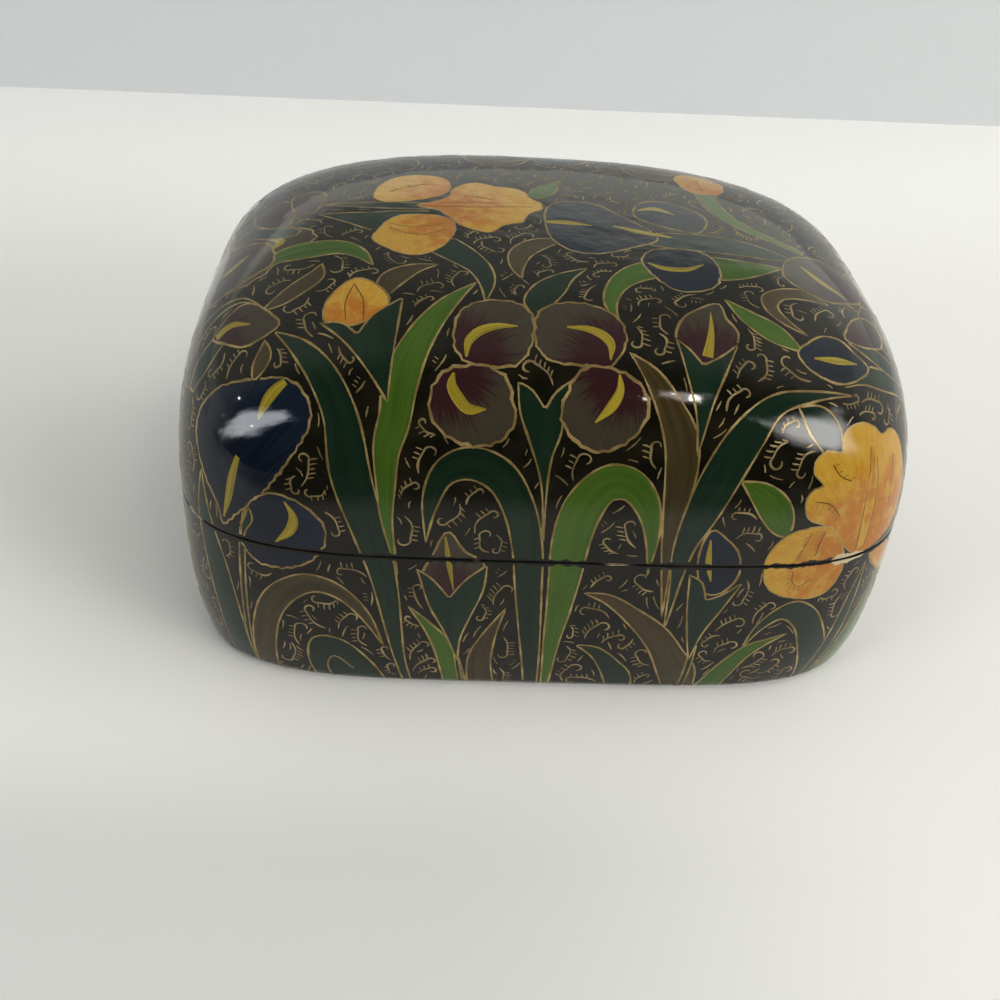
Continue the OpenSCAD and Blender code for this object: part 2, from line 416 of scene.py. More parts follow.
def front_buds():
    blot("yellow petal", (-29.5, -32), (-33.6, -29), (-32.8, -25.6), (-30.2, -22), (-28.6, -21.6),
         (-26.4, -23.2), (-24.3, -26.8), (-25.3, -29.6), (-28.8, -32), (-33, -31), scallop=0.03)
    ink((-30.3, -31), (-30.5, -27.4), (-29.5, -23))
    ink((-29.5, -23), (-28, -27), (-27.8, -31.4))
    patch("dark leaf", [(-34, -31), (-31, -31.4), (-28.6, -33.8)],
          [(-28.6, -33.8), (-26.6, -30.6), (-22.4, -26.8)],
          [(-22.4, -26.8), (-23, -33), (-24, -39), (-25.2, -44)],
          [(-25.2, -44), (-27, -40.4), (-30.4, -35), (-34, -31)])
    leaf("dark leaf", (-23.6, -82, 1), (-24, -88, 1.2), (-24, -97, 1.2))
    blot("plum petal", (-21, -72), (-27.6, -68.8), (-24.2, -65.4), (-20.1, -61.6), (-17.6, -64.6),
         (-14, -66.4), (-15, -69.4), (-20, -72.6), (-26, -71), scallop=0.03)
    crescent((-20.8, -62.4), (-21.2, -66.5, 1.2), (-21.4, -71.2))
    patch("dark leaf", [(-28.3, -67.8), (-25.6, -69.4), (-22.7, -72.6)],
          [(-22.7, -72.6), (-18.6, -69.6), (-13.2, -66.8)],
          [(-13.2, -66.8), (-14.6, -71), (-18.4, -75.8), (-21.8, -80), (-23.6, -84.5)],
          [(-23.6, -84.5), (-25.4, -79), (-27.8, -74), (-28.3, -67.8)])
    blot("plum petal", (20, -37), (15.6, -33.4), (16.8, -29.6), (19.3, -27), (22.7, -25), (23.4, -28.4),
         (24.8, -31.4), (23.4, -35.4), (19.4, -37.6), (17, -36), scallop=0.03)
    leaf("ochre", (21.2, -27.4, 0.1), (20.8, -31.8, 0.9), (20, -36.2, 1.6), gilt=0)
    patch("dark leaf", [(15.6, -33.6), (17.4, -35.2), (19.4, -37.6)],
          [(19.4, -37.6), (22.1, -35.8), (24.6, -33.4)],
          [(24.6, -33.4), (22.9, -38), (21.4, -43), (21, -49.6)],
          [(21, -49.6), (19.3, -44.6), (17.2, -39.4), (15.6, -33.6)])


def navy_buds():
    leaf("dark leaf", (37, -74, 1.4), (43, -84, 1.4), (50, -97, 1.4))
    blot("navy petal", (36.8, -70.2), (29.4, -60), (33, -61.2), (37.4, -63.4), (40.6, -67), (39.6, -70),
         (35.8, -70.4), (31.4, -67), (29.2, -63), scallop=0.03)
    crescent((30.2, -61.6), (32.2, -64.9, 1.1), (35.4, -68.4))
    patch("dark leaf", [(30, -67.4), (33.6, -68.6), (36.8, -71.6)],
          [(36.8, -71.6), (39.6, -70.6), (42.8, -68.2)], [(42.8, -68.2), (42, -73), (41, -78), (42, -83)],
          [(42, -83), (37.6, -78.4), (33.4, -73), (30, -67.4)])
    leaf("dark leaf", (42, -36.4, 0.6), (45.6, -33.4, 3), (50, -32, 4), (58, -30, 3), (68, -30, 2))
    leaf("dark leaf", (43, -27.6, 0.6), (47, -27.6, 3), (52, -28, 3.4), (60, -27, 2))
    blot("navy petal", (44, -32.6), (33.8, -32.8), (35.8, -30.4), (38.2, -28.4), (41.4, -28), (44, -29.6),
         (47, -31.4), (44.4, -34.7), (41.1, -36.4), (37.6, -36.1), (35, -34.9), scallop=0.03)
    crescent((36.5, -33.2), (40.6, -32.4, 1.3), (44.4, -31.6))


front_straps()
front_base()
print("Front straps and base leaves:", len(shapes), "shapes")

# %% Flowers of the front and the crown
def plum_iris():
    patch("dark leaf", [(-6.5, -41.2), (-4.6, -42.2), (-2.7, -44.6)],
          [(-2.7, -44.6), (-1.2, -42.4), (1, -40.8)],
          [(1, -40.8), (0, -44.4), (-0.2, -47.4), (-1.4, -50.6), (-1.9, -54.4), (-2, -63)],
          [(-2, -63), (-3, -54), (-5, -48.5), (-6.3, -45), (-6.5, -41.2)])
    blot("plum petal", (-14.2, -38), (-15.3, -35), (-14.6, -30.6), (-12.6, -28.2), (-9.8, -27.2),
         (-6, -28), (-4.3, -31), (-4.6, -36), (-6.4, -38.8), (-9.6, -39.4), (-12.6, -39.1),
         (-14.6, -37.8), scallop=0.15)
    crescent((-13.6, -38), (-13.2, -35.6, 1.2), (-11.6, -33.8, 1.5), (-9.4, -32.9, 1.2), (-6.4, -32.8))
    blot("plum petal", (7, -37.8), (-4.1, -34), (-3.7, -30.4), (-1.6, -27.9), (2, -27.1), (5.4, -28.2),
         (7.9, -30.8), (8.5, -35), (6.2, -38.8), (2, -38.7), (-1.5, -38.4), (-3.6, -36.8), scallop=0.15)
    crescent((0.4, -32.6), (3.3, -32.8, 1.2), (5.4, -33.9, 1.5), (6.4, -35.4, 1.2), (6.3, -37.8))
    blot("plum petal", (-16.4, -39.9), (-12.9, -39.2), (-16.5, -39.9), (-18.7, -42.6), (-19.2, -46),
         (-16.8, -48.6), (-13, -49.5), (-9.3, -48.7), (-7, -46.2), (-7.4, -43.4), (-8, -41),
         (-10.6, -39.3), scallop=0.17, gilt=0.66)
    crescent((-15.4, -40.2), (-15.8, -41.9, 1.4), (-15, -43.6, 1.7), (-13.8, -44.8, 1.5), (-11.2, -44.8))
    blot("plum petal", (8, -39.6), (3.6, -38.8), (7.2, -39.2), (10.6, -41), (12.2, -44), (11.1, -47.1),
         (8.3, -49.1), (4.8, -49.6), (1.2, -47.8), (-0.4, -45), (0.6, -42), (1.8, -39.9), scallop=0.17,
         gilt=0.72)
    crescent((7.6, -39.8), (7.8, -41.9, 1.2), (6.8, -43.9, 1.5), (4.6, -46))


def navy_iris():
    leaf("dark leaf", (-61.3, -59.3, 1), (-65.8, -62.9, 1.2), (-71.2, -67.5, 1.2), (-78.7, -74.1, 1.2),
         (-88, -81.5, 1.2))
    leaf("dark leaf", (-64, -48, 0), (-71, -55, 4), (-77, -63, 7), (-84, -72, 8), (-94, -82, 8))
    blot("navy petal", (-66, -57.6), (-61.6, -42.4), (-58.6, -39.2), (-55.2, -37.9), (-51.3, -37.4),
         (-44.1, -38.4), (-39.6, -39.4), (-37.4, -41.8), (-37.2, -45), (-40, -48.3), (-47.2, -52.8),
         (-54.6, -55.8), (-66, -58), (-64.7, -54.8), (-63.8, -49), scallop=0.14)
    leaf("ochre", (-40, -39.7, 1.1), (-42.3, -40.9, 1.7), (-44.3, -42.4, 1.5), (-46.4, -44.4, 0.4),
         gilt=0)
    leaf("ochre", (-53.4, -49, 0.9), (-57.8, -52.3, 1.5), (-60.9, -54.6, 1.3), (-65, -57, 0.3), gilt=0)
    blot("navy petal", (-63, -58), (-57, -56.4), (-52, -55.3), (-48.4, -55.9), (-45.2, -57.9),
         (-43.6, -60.8), (-45.4, -63.6), (-49, -65.8), (-53.5, -66.9), (-58.6, -67), (-63.4, -65.5),
         (-64.6, -62.4), (-61.6, -59), scallop=0.16)
    crescent((-48.8, -56.8), (-48.7, -59.1, 1.5), (-50.9, -61.1, 1.5), (-56, -62.8))
    leaf("dark leaf", (-57.2, -56.6, 0.2), (-58.4, -58.2, 1.3), (-61.4, -59.6, 1), (-64.6, -61.8, 0.2))


def yellow_iris():
    leaf("dark leaf", (34.6, -41.6, 0), (38, -42.6, 4), (41.4, -44.6, 4.4), (45, -48, 2))
    petal("yellow petal", (70, -58), (84, -54), 6, 3, 0.05)
    blot("yellow petal", (64, -59.6), (44.3, -44.7), (44.8, -42.6), (47.4, -41), (50.4, -40.9),
         (52.6, -41.4), (54.4, -39.4), (58, -39.4), (62.5, -41.4), (68, -44.6), (72, -50.7), (70, -56),
         (66, -60), (60, -60), (53, -57.8), (47.1, -57.2), (44.2, -55.3), (43.4, -53), (45.2, -51.9),
         (42.2, -50.6), (41, -48.6), (42.4, -46.8), (45.2, -46.6), scallop=0.05, gilt=0.4)
    leaf("yellow petal", (52, -44.8, 0.8), (56, -49.2, 2.6), (60, -54, 3), (64.8, -59, 1.6), gilt=0)
    ink((50.8, -44), (54.4, -49), (58.8, -54.6), (64, -59.6))
    ink((53.4, -45), (57.4, -49), (61.2, -53.4), (65.8, -58.6))
    ink((44.6, -48.6), (47.6, -50), (50.6, -50.2), ticks=4)
    ink((45.6, -54.4), (49.4, -54.4), (53, -55.8), ticks=5, way=-1)
    ink((57.6, -42.6), (60.4, -46), (64, -50), ticks=4)
    blot("yellow petal", (60.5, -60.5), (53.1, -57.7), (50.5, -57.9), (47.5, -58.7), (44.9, -59.9),
         (43.8, -62), (44.3, -64.6), (47.1, -67.5), (51.3, -69.4), (57, -69.9), (62.7, -69.2),
         (65.9, -67.1), (65.2, -63.8), (62.3, -61.4), (57.6, -59.2), scallop=0.05, gilt=0.4)
    ink((49.6, -59), (50.4, -61.4), (51.4, -64.3), ticks=6, way=-1)
    ink((52.4, -58.4), (53.2, -60.4), (54.6, -62.6), ticks=5, way=-1)
    ink((52.4, -65.6), (54, -67.2), (57, -67.8), (58.4, -66), ticks=6, way=-1)


def crown_leaves():
    leaf("dark leaf", (-37, 0.6, 0), (-31.4, -1.2, 4), (-26, -2.6, 8), (-19, -2, 8))
    leaf("dark leaf", (-37, 4.4, 0), (-29, 3.8, 2.2), (-21, 4, 2.4), (-16, 4, 1))
    patch("dark leaf", [(-15.4, -8), (-12.4, -12), (-9.9, -17.4), (-9.4, -22.4), (-10.8, -28)],
          [(-10.8, -28), (-11.6, -23), (-13.2, -19), (-16, -16), (-20, -12)],
          [(-20, -12), (-17, -10), (-15.4, -8)])
    leaf("olive leaf", (-5.5, -21, 0), (-6, -17.4, 2), (-5.2, -12.4, 3.6), (-2.4, -8.8, 3.6),
         (1.5, -7, 1))
    patch("dark leaf", [(-4.3, -30.4), (-5.4, -27.4), (-3.8, -22.8), (-0.4, -19.2), (4.5, -16.6)],
          [(4.5, -16.6), (2, -20.6), (0.6, -24.4), (-1.4, -27.8), (-4.3, -30.4)])
    leaf("green leaf", (7.8, -31.6, 0), (6.9, -27, 1.8), (8.4, -21.8, 3), (11.5, -17.8, 4.6),
         (16, -15.2, 6))
    leaf("green leaf", (21, -14.5, 8), (26, -14.2, 7), (30, -13.4, 4.4), (35, -12, 0))
    leaf("green leaf", (-44.2, -15.4, 0), (-41, -13, 4), (-37, -12.2, 5), (-32.5, -12, 4.2),
         (-29.5, -14, 2.6), (-27, -18, 0))
    leaf("olive leaf", (-25.4, -26, 2), (-23.8, -21.5, 4), (-21, -18.8, 2.6), (-17.5, -17.4, 0))
    leaf("olive leaf", (-43.3, -26.2, 0), (-40.4, -24.9, 2.4), (-37.6, -22.6, 3.2), (-35.4, -20.2, 2.8),
         (-34.6, -16.8, 0))
    leaf("green leaf", (23.8, -23.6, 0), (26.8, -27.4, 3), (30.6, -30.2, 3.8), (35, -32.8, 0))
    leaf("green leaf", (-2.6, 9.6, 2), (-0.5, 12.6, 3.8), (2.8, 18, 0))
    leaf("dark leaf", (14, -5, 4), (20, -5.4, 6), (27, -6, 6), (33, -7.6, 4), (38.4, -9, 0))
    leaf("green leaf", (27.5, 16, 3.6), (27.7, 10.5, 3.2), (29.5, 5, 2.8), (34, -0.6, 2), (40, -5, 1.4))
    leaf("green leaf", (29.9, -52.7, 0), (34, -54, 2.8), (39, -56.4, 4.2), (43, -58.8, 3),
         (45.4, -60.4, 0))


def crown_flowers():
    blot("yellow petal", (-16.5, 9), (-28.6, 7.6), (-28, 11.8), (-26, 15.6), (-23, 17.5), (-19.6, 17.6),
         (-17, 16.2), (-16, 13), (-17, 9.4), (-20, 7), (-24.4, 5.4), (-27.4, 5.6), scallop=0.05,
         gilt=0.35)
    ink((-26, 9.6), (-23, 12), (-20, 13.4), ticks=7)
    blot("yellow petal", (-15.4, -3), (-27.8, -9), (-26.8, -5), (-25.2, -1.3), (-22.6, 0.4), (-17.7, 0.3),
         (-15.5, -1.9), (-15.3, -6), (-17, -11), (-19.6, -14), (-22.6, -14.3), (-26, -11.7), scallop=0.05,
         gilt=0.35)
    ink((-25.8, -3), (-22.6, -4.4), (-19, -3.6), (-16.6, -2.6))
    ink((-25.6, -4.6), (-23, -6.6), (-20, -7), (-16.2, -4.6), ticks=11, way=-1)
    blot("yellow petal", (-18, 5), (-21.4, 4), (-18.5, 6.2), (-16.2, 8.6), (-15.8, 11.2), (-13.6, 14.3),
         (-11, 15.1), (-8.8, 13.8), (-6.8, 13.6), (-5, 13), (-3.4, 11.4), (-2.9, 9.2), (-1.2, 7.4),
         (-1.2, 4.8), (-2.8, 3.4), (-3.8, 1.6), (-4.6, -0.8), (-6.4, -1.7), (-7.8, -2.6), (-9.6, -5.3),
         (-12, -4.8), (-14.4, -3), (-16, -0.4), (-18, 2.6), scallop=0.06, gilt=0.4)
    blot("yellow petal", (-15, 4), (-9.4, 11.4), (-6.4, 12.8), (-3.8, 10.8), (-3.4, 7.8), (-6, 7.2),
         (-8.2, 8.8), scallop=0.06, gilt=0)
    ink((-20.8, 4.2), (-14.6, 4.2), (-8, 5), (-2.6, 5.6))
    ink((-18, 5.6), (-12.6, 6.4), (-8, 6.6))
    ink((-14, 8.4), (-11.2, 8.6), (-8.8, 7.6), ticks=3)
    petal("yellow petal", (27.7, 15.2), (27.2, 27), 8.6, 5, 0.03, gilt=0.4)
    ink((27.4, 17), (27.2, 20), (27.4, 23), ticks=3)


def crown_navy():
    blot("navy petal", (19, -3.6), (14.2, 3), (14, 6), (15.1, 9), (17.8, 10.5), (21, 9.6), (24.2, 7),
         (25.6, 4), (25, 0.6), (23, -1.9), (18.4, -0.2), scallop=0.06)
    crescent((14.6, 6.2), (17.6, 7.2, 1.5), (20.6, 5.2))
    blot("navy petal", (18, -4), (-0.9, -1), (-0.6, 4.4), (1.2, 7.8), (4.5, 8.7), (8, 7.8), (11.6, 3.6),
         (16, -2.4), (16.2, -5.8), (12.8, -8.2), (9.4, -10.3), (6, -11.5), (2.4, -10.6), (-0.2, -6.6),
         scallop=0.06)
    leaf("ochre", (-0.7, -0.1, 1.2), (2.8, -0.1, 1.7), (6.6, -0.9, 0.2), gilt=0)
    leaf("ochre", (10, -0.6, 0.3), (14, -2.5, 1.4), (18.8, -4.1, 0.6), gilt=0)
    blot("navy petal", (16.5, -7), (13, -13.4), (14.6, -9.6), (17.6, -8.4), (21.7, -8.6), (24, -11),
         (24.6, -15.6), (23.4, -19.8), (20.6, -22), (17, -22.2), (14.4, -18.6), scallop=0.1)
    crescent((13.8, -13.8), (16.1, -15.4, 1.4), (19.3, -15.5, 1.4), (22.4, -13.4))


def shoulder_flowers():
    patch("olive leaf",
          [(37, -17.6), (33, -18.8), (29.8, -21.6), (29.8, -25), (32, -27.6), (35.8, -29.2)],
          [(35.8, -29.2), (33, -26.6), (31.8, -24), (33.2, -21.6), (36.4, -20.6), (41, -20.4)],
          [(41, -20.4), (37, -17.6)])
    blot("plum petal", (46, -15), (35, -12), (36.5, -8.6), (39.6, -6.2), (44, -5.6), (47.4, -8.6),
         (48.6, -14), (45, -17.4), (41, -19.2), (37.2, -17.8), (34.8, -15), scallop=0.06)
    crescent((38.4, -10), (41, -13.6, 1.3), (45, -16.4))
    blot("plum petal", (46, -28), (43.1, -24.8), (45, -21.6), (48, -19.4), (51.4, -20), (51, -24.4),
         (46.4, -27.2), (42.6, -27.3), scallop=0.05)
    leaf("dark leaf", (-60, -26, 3), (-56, -23.6, 2.6), (-51, -21.8, 1.8), (-47, -22, 1),
         (-43.4, -24.8, 0))
    leaf("dark leaf", (-60, -34, 2), (-56, -31.4, 4), (-51, -28.6, 3), (-47, -26.4, 1))
    blot("plum petal", (-52, -28), (-52.6, -27.6), (-50.2, -25.2), (-47, -23.3), (-44.4, -24.1),
         (-41, -28), (-40.2, -30), (-43, -31.6), (-46.4, -32.2), (-50, -30), scallop=0.04)
    leaf("ochre", (-51.8, -27.8, 1.4), (-48.7, -26.9, 1.3), (-45, -28.2, 0.2), gilt=0)
    leaf("olive leaf", (-42.6, -32.2, 0), (-42.8, -34.6, 2.4), (-44.4, -37, 2), (-45.4, -38.4, 0.4))
    blot("plum petal", (-57, -8), (-42.4, -14.2), (-42.9, -10), (-44.6, -6.8), (-49.8, -4), (-55, -4.4),
         (-58, -10), (-55, -17.6), (-49.4, -17.8), (-44.7, -16.2), scallop=0.06)
    crescent((-47, -8.6), (-50, -10.6, 1.4), (-54, -11))
    leaf("dark leaf", (-52, 0, 1), (-47, -1.6, 3), (-43, -4, 4), (-39.4, -6, 2))
    blot("plum petal", (-40, 3), (-48, 8.6), (-44, 9.2), (-41, 5.6), (-41.2, -1.7), (-44, -2), (-48, 3),
         scallop=0.05)
    blot("plum petal", (-40, 3), (-42, 9.4), (-39.6, 11), (-36.6, 9.6), (-36.6, 4.4), (-38.6, 1),
         (-41, 3), scallop=0.05)


for draw in (crown_leaves, front_buds, navy_buds, plum_iris, navy_iris, yellow_iris, crown_flowers,
             crown_navy, shoulder_flowers):
    draw()
print("Front and crown:", len(shapes), "shapes")

# %% [markdown]
# ## The gardens of the other sides
# The photograph shows the front and the crown. The same hand paints plants of the same
# kinds round the other three sides, so here a few plants are defined once and set along
# each side with the small differences that a painter would make.

# %% Plants and where they stand
# The chart's height of the foot, and of the roots below it that the foot cuts off
FOOT_Y, ROOT_Y = -91, -98


def strap(paint, x, height, lean, width):
    """A long leaf from the foot that leans over towards its tip."""
    sway = lean * rng.uniform(0.8, 1.2)
    leaf(paint, (x + sway, FOOT_Y + height, 0), (x + sway * 0.72, FOOT_Y + height * 0.84, width * 0.6),
         (x + sway * 0.36, FOOT_Y + height * 0.6, width),
         (x + sway * 0.1, FOOT_Y + height * 0.34, width * 1.05),
         (x, FOOT_Y + height * 0.12, width * 0.75), (x - sway * 0.05, ROOT_Y, width * 0.5))


def hoop(paint, x, height, span, width):
    """A leaf that arches over, its tip hanging down again."""
    top = FOOT_Y + height
    leaf(paint, (x + span * 1.25, top - height * 0.38, 0),
         (x + span * 1.1, top - height * 0.16, width * 0.5), (x + span * 0.72, top, width * 0.7),
         (x + span * 0.22, top - height * 0.08, width), (x, top - height * 0.34, width * 1.15),
         (x - span * 0.05, top - height * 0.68, width * 0.8), (x, ROOT_Y, width * 0.5))


def iris(paint, x, y, size, turn=0.0):
    """Five round petals about a throat, three raised and two falling, each with its stripe."""
    for angle, reach, wide in [(90, 1.0, 0.95), (24, 0.95, 0.9), (156, 0.95, 0.9), (-42, 1.05, 0.9),
                               (-138, 1.05, 0.9)]:
        a = math.radians(angle + turn + rng.uniform(-7, 7))
        out = np.array([math.cos(a), math.sin(a) * 1.06])
        across = np.array([-out[1], out[0]])
        throat = np.array([x, y]) + out * size * 0.08
        petal(paint, throat, throat + out * size * reach, size * wide, 11, 0.035)
        near, far = throat + out * size * 0.42, throat + out * size * 0.62
        if paint != "yellow petal":
            crescent(near + across * size * 0.26, (*far, size * 0.12), near - across * size * 0.26)
    petal(paint, (x, y - size * 0.22), (x, y + size * 0.24), size * 0.42, 3, 0.02, point=-0.5, waist=1.0)


def iris_plant(paint, x, y, size):
    leaf("dark leaf", (x, y, 2), (x + 1, y - 12, 2.6), (x - 0.5, (y + FOOT_Y) / 2, 1.8), (x, ROOT_Y, 1.4))
    iris(paint, x, y, size)


def bud_plant(paint, x, y, size, lean=0.0):
    bud(paint, (x, y), (x + lean, y + size * 1.15), size,
        [(x - lean * 0.4, y - size * 2, 1.4), (x - lean, ROOT_Y, 1.2)], stripe=paint != "yellow petal")


def fan(paint_a, paint_b, x, height, width):
    """Two short leaves that part from one root."""
    leaf(paint_a, (x - 7, FOOT_Y + height, 0), (x - 4, FOOT_Y + height * 0.62, width * 0.6),
         (x - 2, FOOT_Y + height * 0.25, width), (x - 2, ROOT_Y, width * 1.1))
    leaf(paint_b, (x + 8, FOOT_Y + height * 0.95, 0), (x + 5.4, FOOT_Y + height * 0.6, width * 0.6),
         (x + 3, FOOT_Y + height * 0.24, width), (x + 2.6, ROOT_Y, width * 1.2))


def plant_back():
    for x, paint, height, lean, width in [(-58, "dark leaf", 56, -6, 5.5), (-38, "green leaf", 62, 9, 4.4),
                                          (-12, "dark leaf", 60, -7, 6), (6, "olive leaf", 50, 8, 4.6),
                                          (30, "dark leaf", 64, 7, 6), (48, "green leaf", 52, -8, 4.6),
                                          (72, "dark leaf", 50, 5, 5)]:
        strap(paint, x, height, lean, width)
    hoop("green leaf", -26, 40, 12, 5.6)
    hoop("dark leaf", 40, 38, -13, 5.6)
    hoop("olive leaf", -72, 30, -12, 4)
    iris_plant("yellow petal", -46, -46, 12)
    iris_plant("navy petal", -4, -40, 12)
    iris_plant("plum petal", 44, -44, 12)
    bud_plant("plum petal", -22, -58, 9, 1)
    bud_plant("navy petal", 21, -66, 9, -1)
    bud_plant("yellow petal", 66, -58, 9, 2)
    fan("green leaf", "olive leaf", -8, 17, 6)
    fan("olive leaf", "dark leaf", 56, 18, 6)
    fan("dark leaf", "green leaf", -64, 18, 6)
    for x, y, turn in [(-30, -32, 1), (14, -30, -1), (34, -28, 1), (-14, -27, -1)]:
        leaf("olive leaf", (x, y, 0), (x + 3 * turn, y + 3, 3.6), (x + 8 * turn, y + 4, 3.4),
             (x + 12 * turn, y + 1, 0))


def plant_side(first, second, shift):
    for x, paint, height, lean, width in [(-44, "dark leaf", 44, 5, 5.5), (-24, "green leaf", 50, -6, 4.4),
                                          (0, "dark leaf", 52, 6, 6), (22, "olive leaf", 44, -7, 4.6),
                                          (42, "dark leaf", 46, -5, 5)]:
        strap(paint, x + shift, height, lean, width)
    hoop("green leaf", 12 + shift, 34, 11, 5)
    hoop("dark leaf", -12 + shift, 33, -12, 5)
    iris_plant(first, -28 + shift, -46, 11)
    iris_plant(second, 24 + shift, -42, 11)
    bud_plant("plum petal", 0 + shift, -62, 9, 1)
    bud_plant("yellow petal", -46 + shift, -60, 8, -1)
    fan("olive leaf", "green leaf", 34 + shift, 16, 6)
    fan("green leaf", "dark leaf", -34 + shift, 16, 6)


SIDE_STRETCH = CHART_X / CHART_Y
front_shapes = len(shapes)
placing.append(np.array([[0, -SIDE_STRETCH], [1, 0]]))
plant_side("plum petal", "yellow petal", 14)
placing.append(np.array([[0, SIDE_STRETCH], [-1, 0]]))
plant_side("navy petal", "plum petal", -16)
placing.append(np.array([[-1, 0], [0, -1]]))
plant_back()
placing[:] = placing[:1]
shapes = shapes[front_shapes:] + shapes[:front_shapes]
for line in lines:
    line["owner"] = (line["owner"] - front_shapes) % len(shapes) if line["owner"] >= 0 else -1
print("All round:", len(shapes), "shapes")

# %% [markdown]
# ## From the chart to a painted skin
# Each painted shape has to end in a crisp edge however close one looks. A painted image
# would blur, and a shader can't know eighty leaves, so the skin's mesh is cut along the
# shapes: a constrained triangulation takes every outline and the seam as edges, and each
# triangle then belongs to the topmost shape over it. Points in between, a little over a
# millimetre apart, let the flat chart bend to the pillow.

# %% Cut the chart along the shapes and the seam
SPACING = 1.3
# Height of a row of even triangles of side 1, and half the chart's width and height with room
ROW_RISE, SPAN_X, SPAN_Y = 0.866, 130, 118
RING_COUNT = 720
# How far the hand-worn edges at the seam wander, and how far the points between stay inside
EDGE_SWAY, FOOT_MARGIN = 0.14, 0.4
LID_EDGE_Z, BASE_EDGE_Z = LID_RIM_Z + EDGE_BEVEL, BASE_RIM_Z - EDGE_BEVEL


def s_at(z):
    return float(np.interp(-z, -HEIGHT, FROM_CROWN))


def wobble(turn, seed):
    """A hand-worn edge's small ups and downs round the box, from -1 to 1."""
    waves = [(7, 0.3), (17, 0.25), (41, 0.25), (89, 0.2)]
    return sum(part * np.sin(n * turn + seed * (n + 1)) for n, part in waves)


def edge_ring(s, sway, seed, count=RING_COUNT):
    turn = np.linspace(0, 2 * np.pi, count, endpoint=False)
    return to_chart(turn, s + sway * wobble(turn, seed))


def triangulate():
    """Chart points, triangles, and the list of shapes and regions over each triangle."""
    regions = [edge_ring(FOOT_S, 0, 0), edge_ring(s_at(BASE_EDGE_Z), EDGE_SWAY, 1),
               edge_ring(s_at(LID_EDGE_Z), EDGE_SWAY, 2)]
    rings = regions + [shape["ring"] for shape in shapes]
    points, faces = [], []
    for ring in rings:
        faces.append(list(range(len(points), len(points) + len(ring))))
        points += [Vector(p) for p in ring]
    rows = np.arange(-SPAN_Y, SPAN_Y, SPACING * ROW_RISE)
    for k, y in enumerate(rows):
        x = np.arange(-SPAN_X, SPAN_X, SPACING) + (k % 2) * SPACING / 2
        row = np.stack([x, np.full(len(x), y)], 1)
        points += [Vector(p) for p in row[from_chart(row)[1] < FOOT_S - FOOT_MARGIN]]
    out = delaunay_2d_cdt(points, [], faces, 0, 1e-5, True)
    return np.array([p[:] for p in out[0]]), np.array(out[2]), out[5], len(regions)


flat, triangles, over, first_shape = triangulate()
in_foot = np.array([0 in o for o in over])
in_base_edge = np.array([1 in o for o in over])
in_lid_edge = np.array([2 in o for o in over])
top_shape = np.array([max([i - first_shape for i in o if i >= first_shape], default=-1) for o in over])
print("Chart:", len(flat), "points,", len(triangles), "triangles")

# %% Skins of the lid and the base
# Bands up the inside of the lid's coat, and the height where the base's coat turns under
DOME_BANDS, TURN_UNDER_Z = 13, 1.0
PAINTS = ["black ground", "green leaf", "dark leaf", "olive leaf", "plum petal", "navy petal",
          "yellow petal", "ochre", "worn edge", "under lacquer"]
paint_of = np.array([PAINTS.index(shape["paint"]) for shape in shapes] + [0])


def boundary_loop(faces):
    """Edges that only one of the faces has, as one or more closed loops."""
    edges = set()
    for face in faces:
        for a, b in zip(face, np.roll(face, -1)):
            if (b, a) in edges:
                edges.remove((b, a))
            else:
                edges.add((a, b))
    following = dict(edges)
    loops = []
    while following:
        start, loop = next(iter(following)), []
        while start in following:
            loop.append(start)
            start = following.pop(start)
        loops.append(loop)
    return loops


class Shell:
    """Collects points and faces, with the paint, brush place and normal of each corner."""

    def __init__(self):
        self.points, self.faces, self.paints, self.brush, self.hand, self.normals = [], [], [], [], [], []

    def add_points(self, xyz):
        first = len(self.points)
        self.points += list(xyz)
        return list(range(first, len(self.points)))

    def add_face(self, face, paint, brush=None, hand=0.0, normals=None):
        self.faces.append(face)
        self.paints.append(paint)
        self.brush.append(brush if brush is not None else [(0, 0)] * len(face))
        self.hand.append(hand)
        self.normals.append(normals)

    def band(self, a, b, paint):
        """Quads between two closed rings of the same length."""
        n = len(a)
        for i in range(n):
            j = (i + 1) % n
            self.add_face([a[i], a[j], b[j], b[i]], paint)

    def build(self, name, materials):
        mesh = bpy.data.meshes.new(name)
        mesh.from_pydata([tuple(p * MM) for p in self.points], [], self.faces)
        for material in materials:
            mesh.materials.append(material)
        mesh.polygons.foreach_set("material_index", self.paints)
        brush = mesh.uv_layers.new(name="Brush")
        brush.data.foreach_set("uv", np.array([uv for b in self.brush for uv in b], float).ravel())
        hand = mesh.attributes.new("hand", "FLOAT", "FACE")
        hand.data.foreach_set("value", self.hand)
        mesh.polygons.foreach_set("use_smooth", [True] * len(self.faces))
        mesh.update()
        normals = []
        for face, own, flat_normal in zip(self.faces, self.normals, mesh.polygons):
            normals += list(own) if own is not None else [tuple(flat_normal.normal)] * len(face)
        mesh.normals_split_custom_set(normals)
        obj = bpy.data.objects.new(name, mesh)
        bpy.context.scene.collection.objects.link(obj)
        return obj


